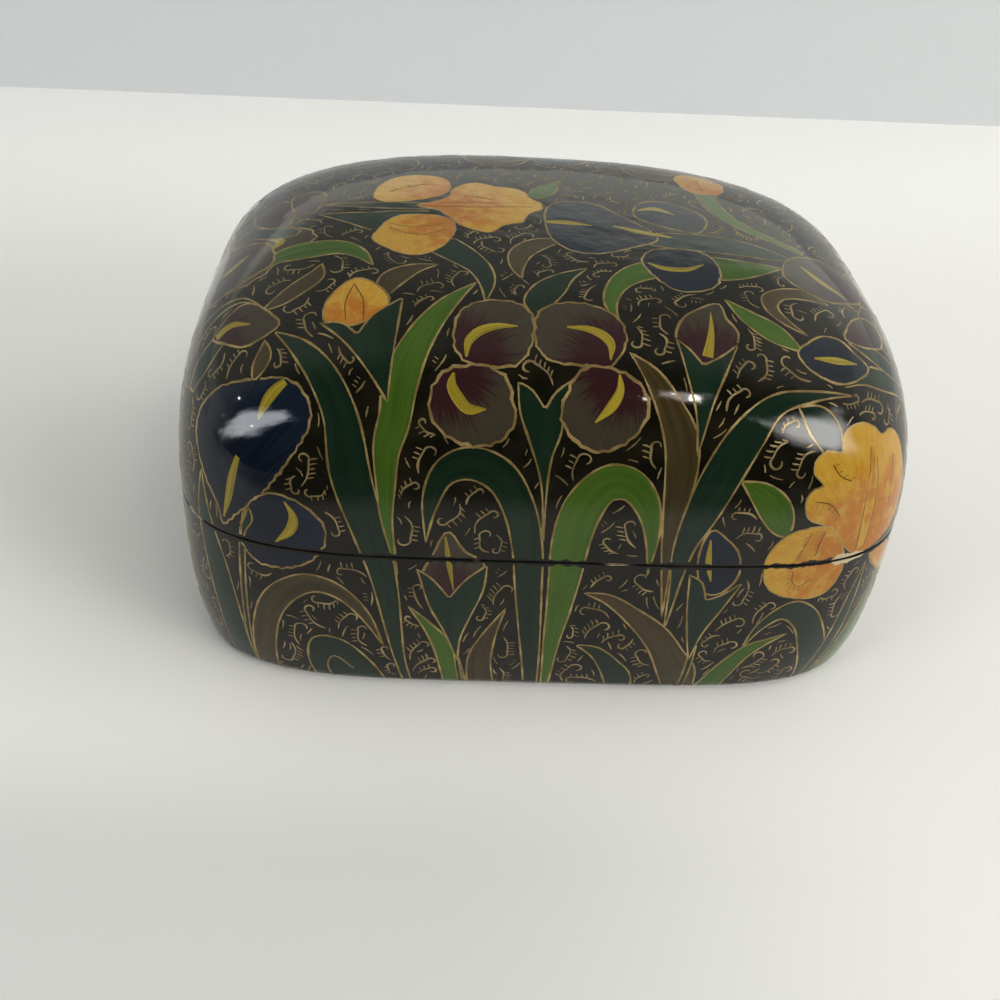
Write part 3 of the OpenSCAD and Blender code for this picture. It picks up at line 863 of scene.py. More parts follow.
def painted_skin(shell, mask):
    """Adds the triangles of one body's skin, each corner knowing its place in its brush mark."""
    chosen = triangles[mask]
    used, compact = np.unique(chosen, return_inverse=True)
    compact = compact.reshape(chosen.shape)
    normals = skin_normal(flat[used])
    first = shell.add_points(on_skin(flat[used]))[0]
    tops = top_shape[mask]
    for k in np.unique(tops):
        rows = np.nonzero(tops == k)[0]
        corners = compact[rows]
        if k >= 0:
            members, back = np.unique(corners, return_inverse=True)
            places = shapes[k]["local"](flat[used[members]])[back.reshape(corners.shape)]
        else:
            places = np.zeros(corners.shape + (2,))
        hand = shapes[k]["hand"] if k >= 0 else 0.0
        for face, brush in zip(corners, places):
            shell.add_face([first + int(v) for v in face], int(paint_of[k]), brush.tolist(), hand,
                           normals[face].tolist())
    return {int(v): first + i for i, v in enumerate(used)}


def ring_at(shell, turn, z, t=0.0, inset=0.0):
    return shell.add_points(level_point(turn, z, t, inset))


def lid_coat_skin(materials):
    shell = Shell()
    mask = in_lid_edge
    index = painted_skin(shell, mask)
    loop = boundary_loop(triangles[mask].tolist())[0]
    turn = from_chart(flat[loop])[0]
    last = [index[v] for v in loop]
    worn, under = PAINTS.index("worn edge"), PAINTS.index("under lacquer")
    rim = ring_at(shell, turn, LID_RIM_Z, 0, EDGE_BEVEL)
    shell.band(rim, last, worn)
    inner = ring_at(shell, turn, LID_RIM_Z, COAT_T)
    shell.band(inner, rim, worn)
    for k in range(1, DOME_BANDS):
        climb = math.sin(math.radians(90 * k / DOME_BANDS))
        z = LID_RIM_Z + (BOX_H - COAT_T - LID_RIM_Z) * climb
        upper = ring_at(shell, turn, z, COAT_T)
        shell.band(upper, inner, under)
        inner = upper
    apex = shell.add_points([np.array([0, 0, BOX_H - COAT_T])])[0]
    for a, b in zip(inner, inner[1:] + inner[:1]):
        shell.add_face([b, a, apex], under)
    return shell.build("lid_painted_coat", materials)


def base_coat_skin(materials):
    shell = Shell()
    mask = in_foot & ~in_base_edge
    index = painted_skin(shell, mask)
    loops = boundary_loop(triangles[mask].tolist())
    loops.sort(key=lambda loop: float(from_chart(flat[loop])[1].mean()))
    rim_loop, foot_loop = loops[0], loops[-1]
    worn, under = PAINTS.index("worn edge"), PAINTS.index("under lacquer")
    turn = from_chart(flat[rim_loop])[0]
    rim = ring_at(shell, turn, BASE_RIM_Z, 0, EDGE_BEVEL)
    shell.band(rim, [index[v] for v in rim_loop], worn)
    inner = ring_at(shell, turn, BASE_RIM_Z, COAT_T)
    shell.band(inner, rim, worn)
    lower = ring_at(shell, turn, TURN_UNDER_Z, COAT_T)
    shell.band(lower, inner, under)
    foot_turn = from_chart(flat[foot_loop])[0]
    sole = ring_at(shell, foot_turn, 0.0, COAT_T)
    shell.band(sole, [index[v] for v in foot_loop], under)
    zip_rings(shell, lower, turn, sole, foot_turn, under)
    return shell.build("base_painted_coat", materials)


def zip_rings(shell, upper, upper_turn, lower, lower_turn, paint):
    """Triangles between two rings that have their own counts of points."""
    up = [upper[i] for i in np.argsort(upper_turn)]
    low = [lower[i] for i in np.argsort(lower_turn)]
    up_turn, low_turn = np.sort(upper_turn), np.sort(lower_turn)
    i = j = 0
    while i < len(up) or j < len(low):
        next_up = up_turn[(i + 1) % len(up)] + (2 * math.pi if i + 1 >= len(up) else 0)
        next_low = low_turn[(j + 1) % len(low)] + (2 * math.pi if j + 1 >= len(low) else 0)
        if j >= len(low) or (i < len(up) and next_up <= next_low):
            shell.add_face([up[i % len(up)], up[(i + 1) % len(up)], low[j % len(low)]], paint)
            i += 1
        else:
            shell.add_face([low[(j + 1) % len(low)], low[j % len(low)], up[i % len(up)]], paint)
            j += 1


# %% [markdown]
# ## Paint under lacquer
# Every colour lies under the same clear lacquer, so each material is a colour from its own
# brush hairs with one shared, slightly rippled gloss over it. The gloss could be a coat on
# the shader, but one layer of dielectric over a diffuse colour is the same thing, and it
# exports. Shared effects are node groups: the hairs, the ripple and the worn seam.

# %% Node helpers
def put(tree, kind, inputs=None, **props):
    """Adds a node; an input is given a value, or linked if it is given a socket."""
    made = tree.nodes.new(kind)
    for key, value in props.items():
        setattr(made, key, value)
    for key, value in (inputs or {}).items():
        if isinstance(value, bpy.types.NodeSocket):
            tree.links.new(value, made.inputs[key])
        else:
            made.inputs[key].default_value = value
    return made


def maths(tree, operation, a, b=0.0, c=0.0):
    return put(tree, "ShaderNodeMath", {0: a, 1: b, 2: c}, operation=operation).outputs[0]


def blend_colours(tree, factor, a, b):
    return put(tree, "ShaderNodeMix", {0: factor, 6: a, 7: b}, data_type="RGBA").outputs[2]


def object_place(tree):
    return put(tree, "ShaderNodeTexCoord").outputs["Object"]


def axes(tree, vector):
    """The three parts of a vector."""
    return put(tree, "ShaderNodeSeparateXYZ", {0: vector}).outputs


def joined(tree, x, y, z):
    return put(tree, "ShaderNodeCombineXYZ", {0: x, 1: y, 2: z}).outputs[0]


def noise(tree, place, scale, detail, **more):
    """Cloudy values about a half, with any more of the texture's inputs by name."""
    inputs = {"Vector": place, "Scale": scale, "Detail": detail, **more}
    return put(tree, "ShaderNodeTexNoise", inputs).outputs["Fac"]


def left_of_one(tree, value):
    return maths(tree, "SUBTRACT", 1.0, value)


def fade(tree, value, low, high):
    """0 below low, 1 above high, smooth between."""
    made = put(tree, "ShaderNodeMapRange", {"Value": value, "From Min": low, "From Max": high},
               interpolation_type="SMOOTHSTEP")
    return made.outputs["Result"]


def group(name, inputs, outputs):
    """A shader node group with named float inputs; outputs are (name, socket type)."""
    tree = bpy.data.node_groups.new(name, "ShaderNodeTree")
    for label, value in inputs.items():
        made = tree.interface.new_socket(label, in_out="INPUT", socket_type="NodeSocketFloat")
        made.default_value = value
    for label, kind in outputs.items():
        tree.interface.new_socket(label, in_out="OUTPUT", socket_type=kind)
    return tree, tree.nodes.new("NodeGroupInput").outputs, tree.nodes.new("NodeGroupOutput")


def rgb(r, g, b):
    """Colour as a painter would match it on screen, 0 to 255, turned to scene values."""
    shares = [c / 255 for c in (r, g, b)]
    return tuple(((c + 0.055) / 1.055) ** 2.4 if c > 10 / 255 else c / 12.92 for c in shares) + (1.0,)


# %% Shared effects
def hand_of(tree):
    """A number from 0 to 1 that is the painted shape's own."""
    return put(tree, "ShaderNodeAttribute", attribute_name="hand").outputs["Fac"]


def make_petal_hairs():
    """Strokes that fan out from a petal's throat, and the distance from it."""
    tree, given, out = group("Petal hairs", {"Fineness": 16.0}, {"Hairs": "NodeSocketFloat",
                                                                  "Reach": "NodeSocketFloat"})
    along, across = axes(tree, put(tree, "ShaderNodeUVMap", uv_map="Brush").outputs[0])[:2]
    along = maths(tree, "ADD", along, 0.12)
    seed = maths(tree, "MULTIPLY", hand_of(tree), 60.0)
    angle = maths(tree, "ARCTAN2", across, along)
    reach = maths(tree, "SQRT", maths(tree, "ADD", maths(tree, "POWER", along, 2.0),
                                      maths(tree, "MULTIPLY", across, across)))
    turned = maths(tree, "MULTIPLY", angle, given["Fineness"])
    where = joined(tree, turned, maths(tree, "MULTIPLY", reach, 2.6), seed)
    hairs = noise(tree, where, 1.0, 2.0, Roughness=0.6)
    tree.links.new(fade(tree, hairs, 0.36, 0.66), out.inputs["Hairs"])
    tree.links.new(reach, out.inputs["Reach"])
    return tree


def make_leaf_hairs():
    """Strokes that run along a leaf, and the distance from its middle line."""
    tree, given, out = group("Leaf hairs", {"Fineness": 4.0}, {"Hairs": "NodeSocketFloat",
                                                               "Edge": "NodeSocketFloat"})
    along, across = axes(tree, put(tree, "ShaderNodeUVMap", uv_map="Brush").outputs[0])[:2]
    seed = maths(tree, "MULTIPLY", hand_of(tree), 60.0)
    aside = maths(tree, "MULTIPLY", across, given["Fineness"])
    where = joined(tree, aside, maths(tree, "MULTIPLY", along, 1.6), seed)
    hairs = noise(tree, where, 1.0, 3.0, Roughness=0.55)
    tree.links.new(fade(tree, hairs, 0.3, 0.72), out.inputs["Hairs"])
    tree.links.new(maths(tree, "ABSOLUTE", across), out.inputs["Edge"])
    return tree


def make_lacquer():
    """The gloss: a gentle ripple as a normal, and a roughness with faint smears."""
    tree, given, out = group("Lacquer", {"Ripple": 0.5, "Gloss": 0.05},
                             {"Normal": "NodeSocketVector", "Roughness": "NodeSocketFloat"})
    place = object_place(tree)
    height = noise(tree, place, 120.0, 1.0)
    height = maths(tree, "MULTIPLY_ADD", noise(tree, place, 360.0, 1.0), 0.4, height)
    height = maths(tree, "MULTIPLY_ADD", noise(tree, place, 900.0, 2.0), 0.1, height)
    bump = put(tree, "ShaderNodeBump", {"Strength": given["Ripple"], "Distance": 0.0001, "Height": height})
    smear = noise(tree, place, 45.0, 4.0, Distortion=0.6)
    rough = maths(tree, "MULTIPLY_ADD", fade(tree, smear, 0.45, 0.75), 0.06, given["Gloss"])
    tree.links.new(bump.outputs[0], out.inputs["Normal"])
    tree.links.new(rough, out.inputs["Roughness"])
    return tree


# The corner where the rims have been knocked
KNOCK = (44.4 * MM, -42.6 * MM, 26.7 * MM)


def make_seam_wear():
    """Masks near the seam: a grimy line, and chips down to the pale ground, one at a knocked corner."""
    tree, given, out = group("Seam wear", {"Grime width": 0.95, "Chip width": 1.6},
                             {"Grime": "NodeSocketFloat", "Chips": "NodeSocketFloat"})
    place = object_place(tree)
    seam = (BASE_RIM_Z + LID_RIM_Z) / 2 * MM
    away = maths(tree, "ABSOLUTE", maths(tree, "SUBTRACT", axes(tree, place)[2], seam))
    away = maths(tree, "MULTIPLY", away, 1000.0)
    rough, broad = noise(tree, place, 700.0, 3.0), noise(tree, place, 60.0, 2.0)
    edge = maths(tree, "MULTIPLY", maths(tree, "MULTIPLY_ADD", rough, 1.6, -0.3), given["Grime width"])
    grime = left_of_one(tree, fade(tree, maths(tree, "SUBTRACT", away, edge), -0.05, 0.12))
    near = put(tree, "ShaderNodeVectorMath", {0: place, 1: KNOCK}, operation="DISTANCE").outputs["Value"]
    knocked = left_of_one(tree, fade(tree, near, 2.2 * MM, 3.6 * MM))
    worn = maths(tree, "MAXIMUM", fade(tree, broad, 0.6, 0.68), knocked)
    spot = maths(tree, "MULTIPLY", maths(tree, "MULTIPLY", rough, given["Chip width"]), worn)
    chips = left_of_one(tree, fade(tree, maths(tree, "SUBTRACT", away, spot), -0.04, 0.04))
    tree.links.new(grime, out.inputs["Grime"])
    tree.links.new(chips, out.inputs["Chips"])
    return tree


petal_hairs, leaf_hairs = make_petal_hairs(), make_leaf_hairs()
lacquer, seam_wear = make_lacquer(), make_seam_wear()
GROUND_PALE, GRIME = rgb(176, 160, 128), rgb(18, 15, 12)
# Index of refraction: the lacquer's, and a lower one for the seam's edge and the inner faces
LACQUER_IOR, INNER_IOR = 1.36, 1.2


def place_group(tree, shared, **values):
    made = tree.nodes.new("ShaderNodeGroup")
    made.node_tree = shared
    for key, value in values.items():
        made.inputs[key.replace("_", " ")].default_value = value
    return made.outputs


def new_material(name):
    """A material with only its Principled shader left, and its tree."""
    material = bpy.data.materials.new(name)
    material.use_nodes = True
    return material, material.node_tree, material.node_tree.nodes["Principled BSDF"]


def lacquered(name, colour_of, wear=True, ripple=0.5, gloss=0.05, metal=0.0):
    """A paint under the lacquer; colour_of(tree) makes its colour socket."""
    material, tree, shader = new_material(name)
    colour = colour_of(tree)
    if wear:
        worn = place_group(tree, seam_wear)
        colour = blend_colours(tree, worn["Grime"], colour, GRIME)
        colour = blend_colours(tree, worn["Chips"], colour, GROUND_PALE)
    coat = place_group(tree, lacquer, Ripple=ripple, Gloss=gloss)
    tree.links.new(colour, shader.inputs["Base Color"])
    tree.links.new(coat["Roughness"], shader.inputs["Roughness"])
    tree.links.new(coat["Normal"], shader.inputs["Normal"])
    shader.inputs["Metallic"].default_value = metal
    shader.inputs["IOR"].default_value = LACQUER_IOR if wear else INNER_IOR
    return material


# %% Colours of the paints
def mottle(tree, scale, low=0.35, high=0.7):
    return fade(tree, noise(tree, object_place(tree), scale, 3.0), low, high)


def by_hand(tree, a, b):
    """A colour between two, different for each painted shape."""
    return blend_colours(tree, hand_of(tree), a, b)


def leaf_colour(dark, light, streak):
    def build(tree):
        hairs = place_group(tree, leaf_hairs, Fineness=3.0)
        body = by_hand(tree, dark, light)
        streaked = blend_colours(tree, maths(tree, "MULTIPLY", hairs["Hairs"], 0.45), body, streak)
        return blend_colours(tree, maths(tree, "MULTIPLY", mottle(tree, 160.0), 0.25), streaked, dark)
    return build


def petal_colour(throat, rim, hair, start, end, amount):
    def build(tree):
        strokes = place_group(tree, petal_hairs, Fineness=34.0)
        spread = maths(tree, "MULTIPLY_ADD", strokes["Hairs"], -0.22, strokes["Reach"])
        body = blend_colours(tree, fade(tree, spread, start, end), throat, rim)
        fine = place_group(tree, petal_hairs, Fineness=72.0)
        return blend_colours(tree, maths(tree, "MULTIPLY", fine["Hairs"], amount), body, hair)
    return build


def ground_colour(tree):
    return blend_colours(tree, mottle(tree, 220.0), rgb(12, 11, 6), rgb(24, 21, 13))


def yellow_colour(tree):
    """Orange at the throat, gold at the rim, dabbed unevenly."""
    strokes = place_group(tree, petal_hairs, Fineness=30.0)
    spread = maths(tree, "MULTIPLY_ADD", mottle(tree, 420.0), 0.5, strokes["Reach"])
    body = blend_colours(tree, fade(tree, spread, 0.5, 1.1), rgb(154, 96, 26), rgb(168, 132, 46))
    dabbed = blend_colours(tree, maths(tree, "MULTIPLY", mottle(tree, 1100.0, 0.5, 0.75), 0.35), body,
                           rgb(182, 152, 74))
    return blend_colours(tree, maths(tree, "MULTIPLY", strokes["Hairs"], 0.3), dabbed, rgb(150, 84, 26))


def ochre_colour(tree):
    hairs = place_group(tree, leaf_hairs, Fineness=2.0)
    return blend_colours(tree, hairs["Hairs"], rgb(110, 96, 26), rgb(146, 128, 42))


def worn_colour(tree):
    pale = blend_colours(tree, mottle(tree, 900.0), GROUND_PALE, rgb(120, 100, 72))
    return blend_colours(tree, mottle(tree, 90.0, 0.3, 0.4), pale, GRIME)


def under_colour(tree):
    return blend_colours(tree, mottle(tree, 300.0), rgb(28, 24, 20), rgb(44, 38, 31))


paint_materials = [
    lacquered("black_ground_under_lacquer", ground_colour),
    lacquered("green_leaf_paint", leaf_colour(rgb(42, 65, 15), rgb(55, 81, 21), rgb(74, 99, 36))),
    lacquered("dark_leaf_paint", leaf_colour(rgb(13, 28, 17), rgb(18, 34, 25), rgb(28, 46, 30))),
    lacquered("olive_leaf_paint", leaf_colour(rgb(44, 36, 17), rgb(56, 48, 28), rgb(74, 63, 40))),
    lacquered("plum_petal_paint",
              petal_colour(rgb(42, 19, 22), rgb(55, 51, 38), rgb(44, 28, 28), 0.38, 0.72, 0.45)),
    lacquered("navy_petal_paint",
              petal_colour(rgb(9, 13, 23), rgb(16, 24, 35), rgb(25, 35, 48), 0.3, 1.0, 0.3)),
    lacquered("yellow_petal_paint", yellow_colour),
    lacquered("ochre_stripe_paint", ochre_colour),
    lacquered("worn_seam_edge", worn_colour, wear=False, gloss=0.6),
    lacquered("inside_of_coat", under_colour, wear=False),
]
lid_skin = lid_coat_skin(paint_materials)
base_skin = base_coat_skin(paint_materials)
for skin in (lid_skin, base_skin):
    print(skin.name, len(skin.data.polygons), "faces")
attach(lid_skin, "lid")
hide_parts("lid_coat")
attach(base_skin, "base")
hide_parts("base_coat")

# %% [markdown]
# ## Gilt lines
# Every shape is lined in dull gilt, and hooks with combs of small ticks fill the ground
# between. A line could be drawn in the shader, but then it would blur near the camera, so
# each is a very low closed ribbon laid on the skin. The paths come from the shapes, cut
# where a later shape covers them, and Geometry Nodes lays the ribbon along each path.

# %% Which parts of the lines show
STROKE_STEP = {"gilt": 0.85, "fill": 0.42, "ink": 0.6}
SEAM_S = (s_at(LID_EDGE_Z) - 0.06, s_at(BASE_EDGE_Z) + 0.06)
# How far lines stop above the foot, how much the hand's pressure varies, and how a stroke
# starts and ends: the share of its width at the tip, and the length over which it fills out
FOOT_CLEAR, PRESS_SWING, TIP_SHARE, TIP_LENGTH = 0.25, 0.13, 0.45, 1.2
strokes = {(body, kind): [] for body in ("lid", "base") for kind in STROKE_STEP}


def inside(points, ring):
    """Which points lie within a closed ring, by its turns round each."""
    out = np.zeros(len(points), bool)
    near = np.nonzero(((points > ring.min(0)) & (points < ring.max(0))).all(1))[0]
    if len(near):
        x, y = points[near, :1], points[near, 1:]
        a, b = ring, np.roll(ring, -1, 0)
        climb = (b[:, 1] > y).astype(int) - (a[:, 1] > y)
        slope = (b[:, 0] - a[:, 0]) / np.where(a[:, 1] == b[:, 1], 1, b[:, 1] - a[:, 1])
        right = x < a[:, 0] + (y - a[:, 1]) * slope
        out[near] = (climb * right).sum(1) != 0
    return out


def body_of(s):
    """0 on the lid, 1 on the base, -1 in the seam or under the foot."""
    on_base = (s > SEAM_S[1]) & (s < FOOT_S - FOOT_CLEAR)
    return np.where(s < SEAM_S[0], 0, np.where(on_base, 1, -1))


def runs_of(place):
    """First and last index of each run of equal values that aren't -1."""
    cuts = np.concatenate([[0], np.nonzero(np.diff(place))[0] + 1, [len(place)]])
    return [(a, b - 1) for a, b in zip(cuts, cuts[1:]) if place[a] >= 0 and b - a > 1]


def keep_stroke(path, reach, width, kind, body, closed=False, ends=(True, True)):
    """Keeps a stretch of line in the chart, with a half width that varies as a hand's does."""
    phase = [rng.uniform(0, 6.28) for _ in range(3)]
    hand = sum(np.sin(reach / period + p) for period, p in zip((0.5, 1.1, 2.3), phase))
    press = width / 2 * (1 + PRESS_SWING * hand)
    if ends[0]:
        press *= np.clip(TIP_SHARE + reach / TIP_LENGTH, 0, 1)
    if ends[1]:
        press *= np.clip(TIP_SHARE + (reach[-1] - reach) / TIP_LENGTH, 0, 1)
    if closed:
        path, press = path[:-1], press[:-1]
    strokes[body, kind].append((path, press, closed))


def lay_stroke(path, width, kind, body, closed=False, ends=(True, True)):
    """Keeps a stretch of line, cut into even steps of its true length."""
    reach = np.concatenate([[0], np.cumsum(np.linalg.norm(np.diff(on_skin(path), axis=0), axis=1))])
    count = max(3, int(round(reach[-1] / STROKE_STEP[kind])) + 1)
    at = np.linspace(0, reach[-1], count)
    path = np.stack([np.interp(at, reach, path[:, i]) for i in (0, 1)], 1)
    keep_stroke(path, at, width, kind, body, closed, ends)


def lay_line(line):
    path, place = line["path"], body_of(from_chart(line["path"])[1])
    for shape in shapes[line["owner"] + 1:]:
        place[inside(path, shape["ring"])] = -1
    closed = np.allclose(path[0], path[-1])
    whole = closed and len(set(place)) == 1
    if closed and not whole:
        first = int(np.nonzero(np.diff(place))[0][0]) + 1
        path = np.concatenate([path[first:-1], path[:first + 1]])
        place = np.concatenate([place[first:-1], place[:first + 1]])
    for a, b in runs_of(place):
        own_ends = (a == 0 and not closed, b == len(path) - 1 and not closed)
        lay_stroke(path[a:b + 1], line["width"], line["kind"], ("lid", "base")[place[a]], whole, own_ends)


for line in lines:
    lay_line(line)
print({" ".join(key): len(value) for key, value in strokes.items()})

# %% Free ground between the shapes
CELL = 0.3
GRID_HALF = np.array([132, 120])
GRID_X, GRID_Y = (np.arange(-half, half, CELL) for half in GRID_HALF)
# Bare strips left along the foot and the seam, and round each shape in cells
FOOT_ROOM, SEAM_ROOM, SHAPE_ROOM = 0.7, 0.35, 2.2


def disc(cells):
    span = np.arange(-int(cells), int(cells) + 1)
    return [(i, j) for i in span for j in span if i * i + j * j <= cells * cells]


def ground_mask():
    """True where there is bare ground, clear of each shape by the room for its outline."""
    grid = np.stack(np.meshgrid(GRID_X, GRID_Y, indexing="ij"), -1)
    s = from_chart(grid.reshape(-1, 2))[1].reshape(grid.shape[:2])
    taken = (s > FOOT_S - FOOT_ROOM) | ((s > SEAM_S[0] - SEAM_ROOM) & (s < SEAM_S[1] + SEAM_ROOM))
    for shape in shapes:
        low = np.floor((shape["ring"].min(0) + GRID_HALF) / CELL).astype(int).clip(0)
        high = np.ceil((shape["ring"].max(0) + GRID_HALF) / CELL).astype(int).clip(0) + 1
        part = grid[low[0]:high[0], low[1]:high[1]]
        if part.size:
            covered = inside(part.reshape(-1, 2), shape["ring"]).reshape(part.shape[:2])
            taken[low[0]:high[0], low[1]:high[1]] |= covered
    wide = taken.copy()
    for i, j in disc(SHAPE_ROOM):
        wide |= np.roll(taken, (i, j), (0, 1))
    return ~wide


def cell_of(points):
    return (np.floor((points[:, 0] + GRID_HALF[0]) / CELL).astype(int).clip(0, len(GRID_X) - 1),
            np.floor((points[:, 1] + GRID_HALF[1]) / CELL).astype(int).clip(0, len(GRID_Y) - 1))


def local_frame(xy):
    """2 x 2 matrices that turn millimetres on the skin into steps in the chart."""
    step = 0.3
    right, up = np.array([step, 0.0]), np.array([0.0, step])
    ax = (on_skin(xy + right) - on_skin(xy - right)) / (2 * step)
    ay = (on_skin(xy + up) - on_skin(xy - up)) / (2 * step)
    normal = np.cross(ax, ay)
    e1 = ax / np.linalg.norm(ax, axis=-1, keepdims=True)
    e2 = np.cross(normal, e1)
    e2 /= np.linalg.norm(e2, axis=-1, keepdims=True)
    rows = [np.stack([(e * ax).sum(-1), (e * ay).sum(-1)], -1) for e in (e1, e2)]
    return np.linalg.inv(np.stack(rows, -2))


# %% Hooks, commas and dashes
# Half the width and height of the chart where marks are tried
MARK_SPAN_X, MARK_SPAN_Y = 118, 100


def hook(size=1.0):
    """A swaying stroke that ends in an open curl, with a comb of short ticks behind it."""
    length, radius = size * rng.uniform(2.9, 4.3), size * rng.uniform(0.6, 0.95)
    sway, curl = size * rng.uniform(0.25, 0.65), math.pi * rng.uniform(1.1, 1.5)
    sweep = [(-sway * math.sin(3.8 * t), length * t) for t in np.linspace(0, 1, 10)]
    top = sweep.pop()[0]
    turn = [(top + radius - radius * math.cos(a), length + 0.85 * radius * math.sin(a))
            for a in np.linspace(0, curl, 12)]
    marks = [(0.44, np.array(sweep + turn))]
    gap, slope, apart = rng.uniform(0.66, 0.82), rng.uniform(0.2, 0.9), rng.uniform(0.1, 0.3)
    for i in range(rng.choice([3, 4, 4, 5])):
        y, tick = length * 1.02 - i * gap, size * rng.uniform(0.6, 0.95)
        x = -sway * math.sin(3.8 * y / length) - apart
        marks.append((0.46, np.array([(x, y), (x - tick * 0.5, y + slope * tick * 0.6),
                                      (x - tick, y + slope * tick)])))
    middle = np.array([radius * 0.6, length * 0.6])
    return [(width, mark - middle) for width, mark in marks]


def small_hook():
    return hook(0.72)


def comma():
    """A short bent stroke, some with two or three ticks."""
    length = rng.uniform(1.6, 2.8)
    curve = [(0.4 * math.sin(t * 1.9), length * (t - 0.5)) for t in np.linspace(0, 1, 7)]
    marks = [(0.36, np.array(curve))]
    for i in range(rng.choice([0, 2, 3])):
        y = i * 0.62
        marks.append((0.3, np.array([(-0.3, -0.3 + y), (-0.62, -0.2 + y), (-0.95, -0.15 + y)])))
    return marks


def dash():
    length, bend = rng.uniform(0.9, 2.0), rng.uniform(-0.2, 0.2)
    return [(0.4, np.array([(0, -length / 2), (bend, 0), (0, length / 2)]))]


def fill_ground(free, make, spacing, room, turns):
    """Sets marks on the free ground wherever one fits, in the turn that fits first."""
    spots = [(x + rng.uniform(-0.5, 0.5) * spacing, y + rng.uniform(-0.5, 0.5) * spacing)
             for x in np.arange(-MARK_SPAN_X, MARK_SPAN_X, spacing)
             for y in np.arange(-MARK_SPAN_Y, MARK_SPAN_Y, spacing)]
    rng.shuffle(spots)
    spots = np.array(spots)
    spots = spots[free[cell_of(spots)]]
    bodies = body_of(from_chart(spots)[1])
    made, stamp = 0, np.array(disc(room / CELL))
    for spot, frame_here, body in zip(spots, local_frame(spots), bodies):
        marks = make()
        every = np.concatenate([mark for _, mark in marks])
        flip = np.diag([rng.choice([1, 1, 1, -1]), 1])
        for turn in turns:
            a = math.radians(turn + rng.uniform(-12, 12))
            turned = np.array([[math.cos(a), -math.sin(a)], [math.sin(a), math.cos(a)]])
            spin = frame_here @ turned @ flip
            cells = cell_of(spot + every @ spin.T)
            if free[cells].all():
                break
        else:
            continue
        made += 1
        around = np.array(cells)[:, :, None] + stamp.T[:, None, :]
        free[around[0].clip(0, len(GRID_X) - 1), around[1].clip(0, len(GRID_Y) - 1)] = False
        for width, mark in marks:
            reach = np.concatenate([[0], np.cumsum(np.hypot(*np.diff(mark, axis=0).T))])
            keep_stroke(spot + mark @ spin.T, reach, width, "fill", ("lid", "base")[body])
    return made


free = ground_mask()
LEANS = (-35, -60, -12, 30, 65, 110, 150, 200)
print("Hooks:", fill_ground(free, hook, 1.8, 0.8, LEANS))
print("Small hooks:", fill_ground(free, small_hook, 1.5, 0.8, LEANS))
print("Commas:", fill_ground(free, comma, 1.9, 0.9, (-30, 10, 60, 100)))
print("Dashes:", fill_ground(free, dash, 2.3, 1.3, (-20, 20, 70, 120)))

# %% The brush that lays the ribbons
def new_tree(name, **inputs):
    """A Geometry Nodes tree with a geometry in, named inputs and a geometry out."""
    tree = bpy.data.node_groups.new(name, "GeometryNodeTree")
    tree.interface.new_socket("Geometry", in_out="INPUT", socket_type="NodeSocketGeometry")
    for label, kind in inputs.items():
        tree.interface.new_socket(label, in_out="INPUT", socket_type=kind)
    tree.interface.new_socket("Geometry", in_out="OUTPUT", socket_type="NodeSocketGeometry")
    return tree, tree.nodes.new("NodeGroupInput").outputs, tree.nodes.new("NodeGroupOutput")


def make_brush():
    """Lays a low three-sided ribbon along each line of edges, its ridge away from the skin."""
    tree, given, out = new_tree("Brush lines", Relief="NodeSocketFloat", Paint="NodeSocketMaterial")
    lay = put(tree, "GeometryNodeInputNamedAttribute", {"Name": "lay"}, data_type="FLOAT_VECTOR").outputs[0]
    press = put(tree, "GeometryNodeInputNamedAttribute", {"Name": "press"}, data_type="FLOAT").outputs[0]
    path = put(tree, "GeometryNodeMeshToCurve", {"Mesh": given["Geometry"]}).outputs[0]
    path = put(tree, "GeometryNodeSetCurveNormal", {"Curve": path, "Normal": lay}, mode="FREE").outputs[0]
    section = put(tree, "GeometryNodeCurvePrimitiveCircle", {"Resolution": 3, "Radius": 1.0}).outputs[0]
    squash = put(tree, "ShaderNodeCombineXYZ", {0: given["Relief"], 1: 1.0, 2: 1.0}).outputs[0]
    section = put(tree, "GeometryNodeTransform", {"Geometry": section, "Scale": squash}).outputs[0]
    ribbon = put(tree, "GeometryNodeCurveToMesh", {"Curve": path, "Profile Curve": section, "Scale": press,
                                                   "Fill Caps": True}).outputs[0]
    ribbon = put(tree, "GeometryNodeRealizeInstances", {"Geometry": ribbon}).outputs[0]
    painted = put(tree, "GeometryNodeSetMaterial", {"Geometry": ribbon, "Material": given["Paint"]})
    tree.links.new(painted.outputs[0], out.inputs["Geometry"])
    return tree


def evaluated(obj, tree, **values):
    """Runs a Geometry Nodes tree on an object and keeps the resulting mesh."""
    modifier = obj.modifiers.new(tree.name, "NODES")
    modifier.node_group = tree
    for item in tree.interface.items_tree:
        if item.in_out == "INPUT" and item.name in values:
            modifier[item.identifier] = values[item.name]
    bpy.context.view_layer.update()
    depsgraph = bpy.context.evaluated_depsgraph_get()
    mesh = bpy.data.meshes.new_from_object(obj.evaluated_get(depsgraph), depsgraph=depsgraph)
    mesh.name = obj.name
    obj.modifiers.remove(modifier)
    obj.data = mesh
    return obj


brush_tree = make_brush()


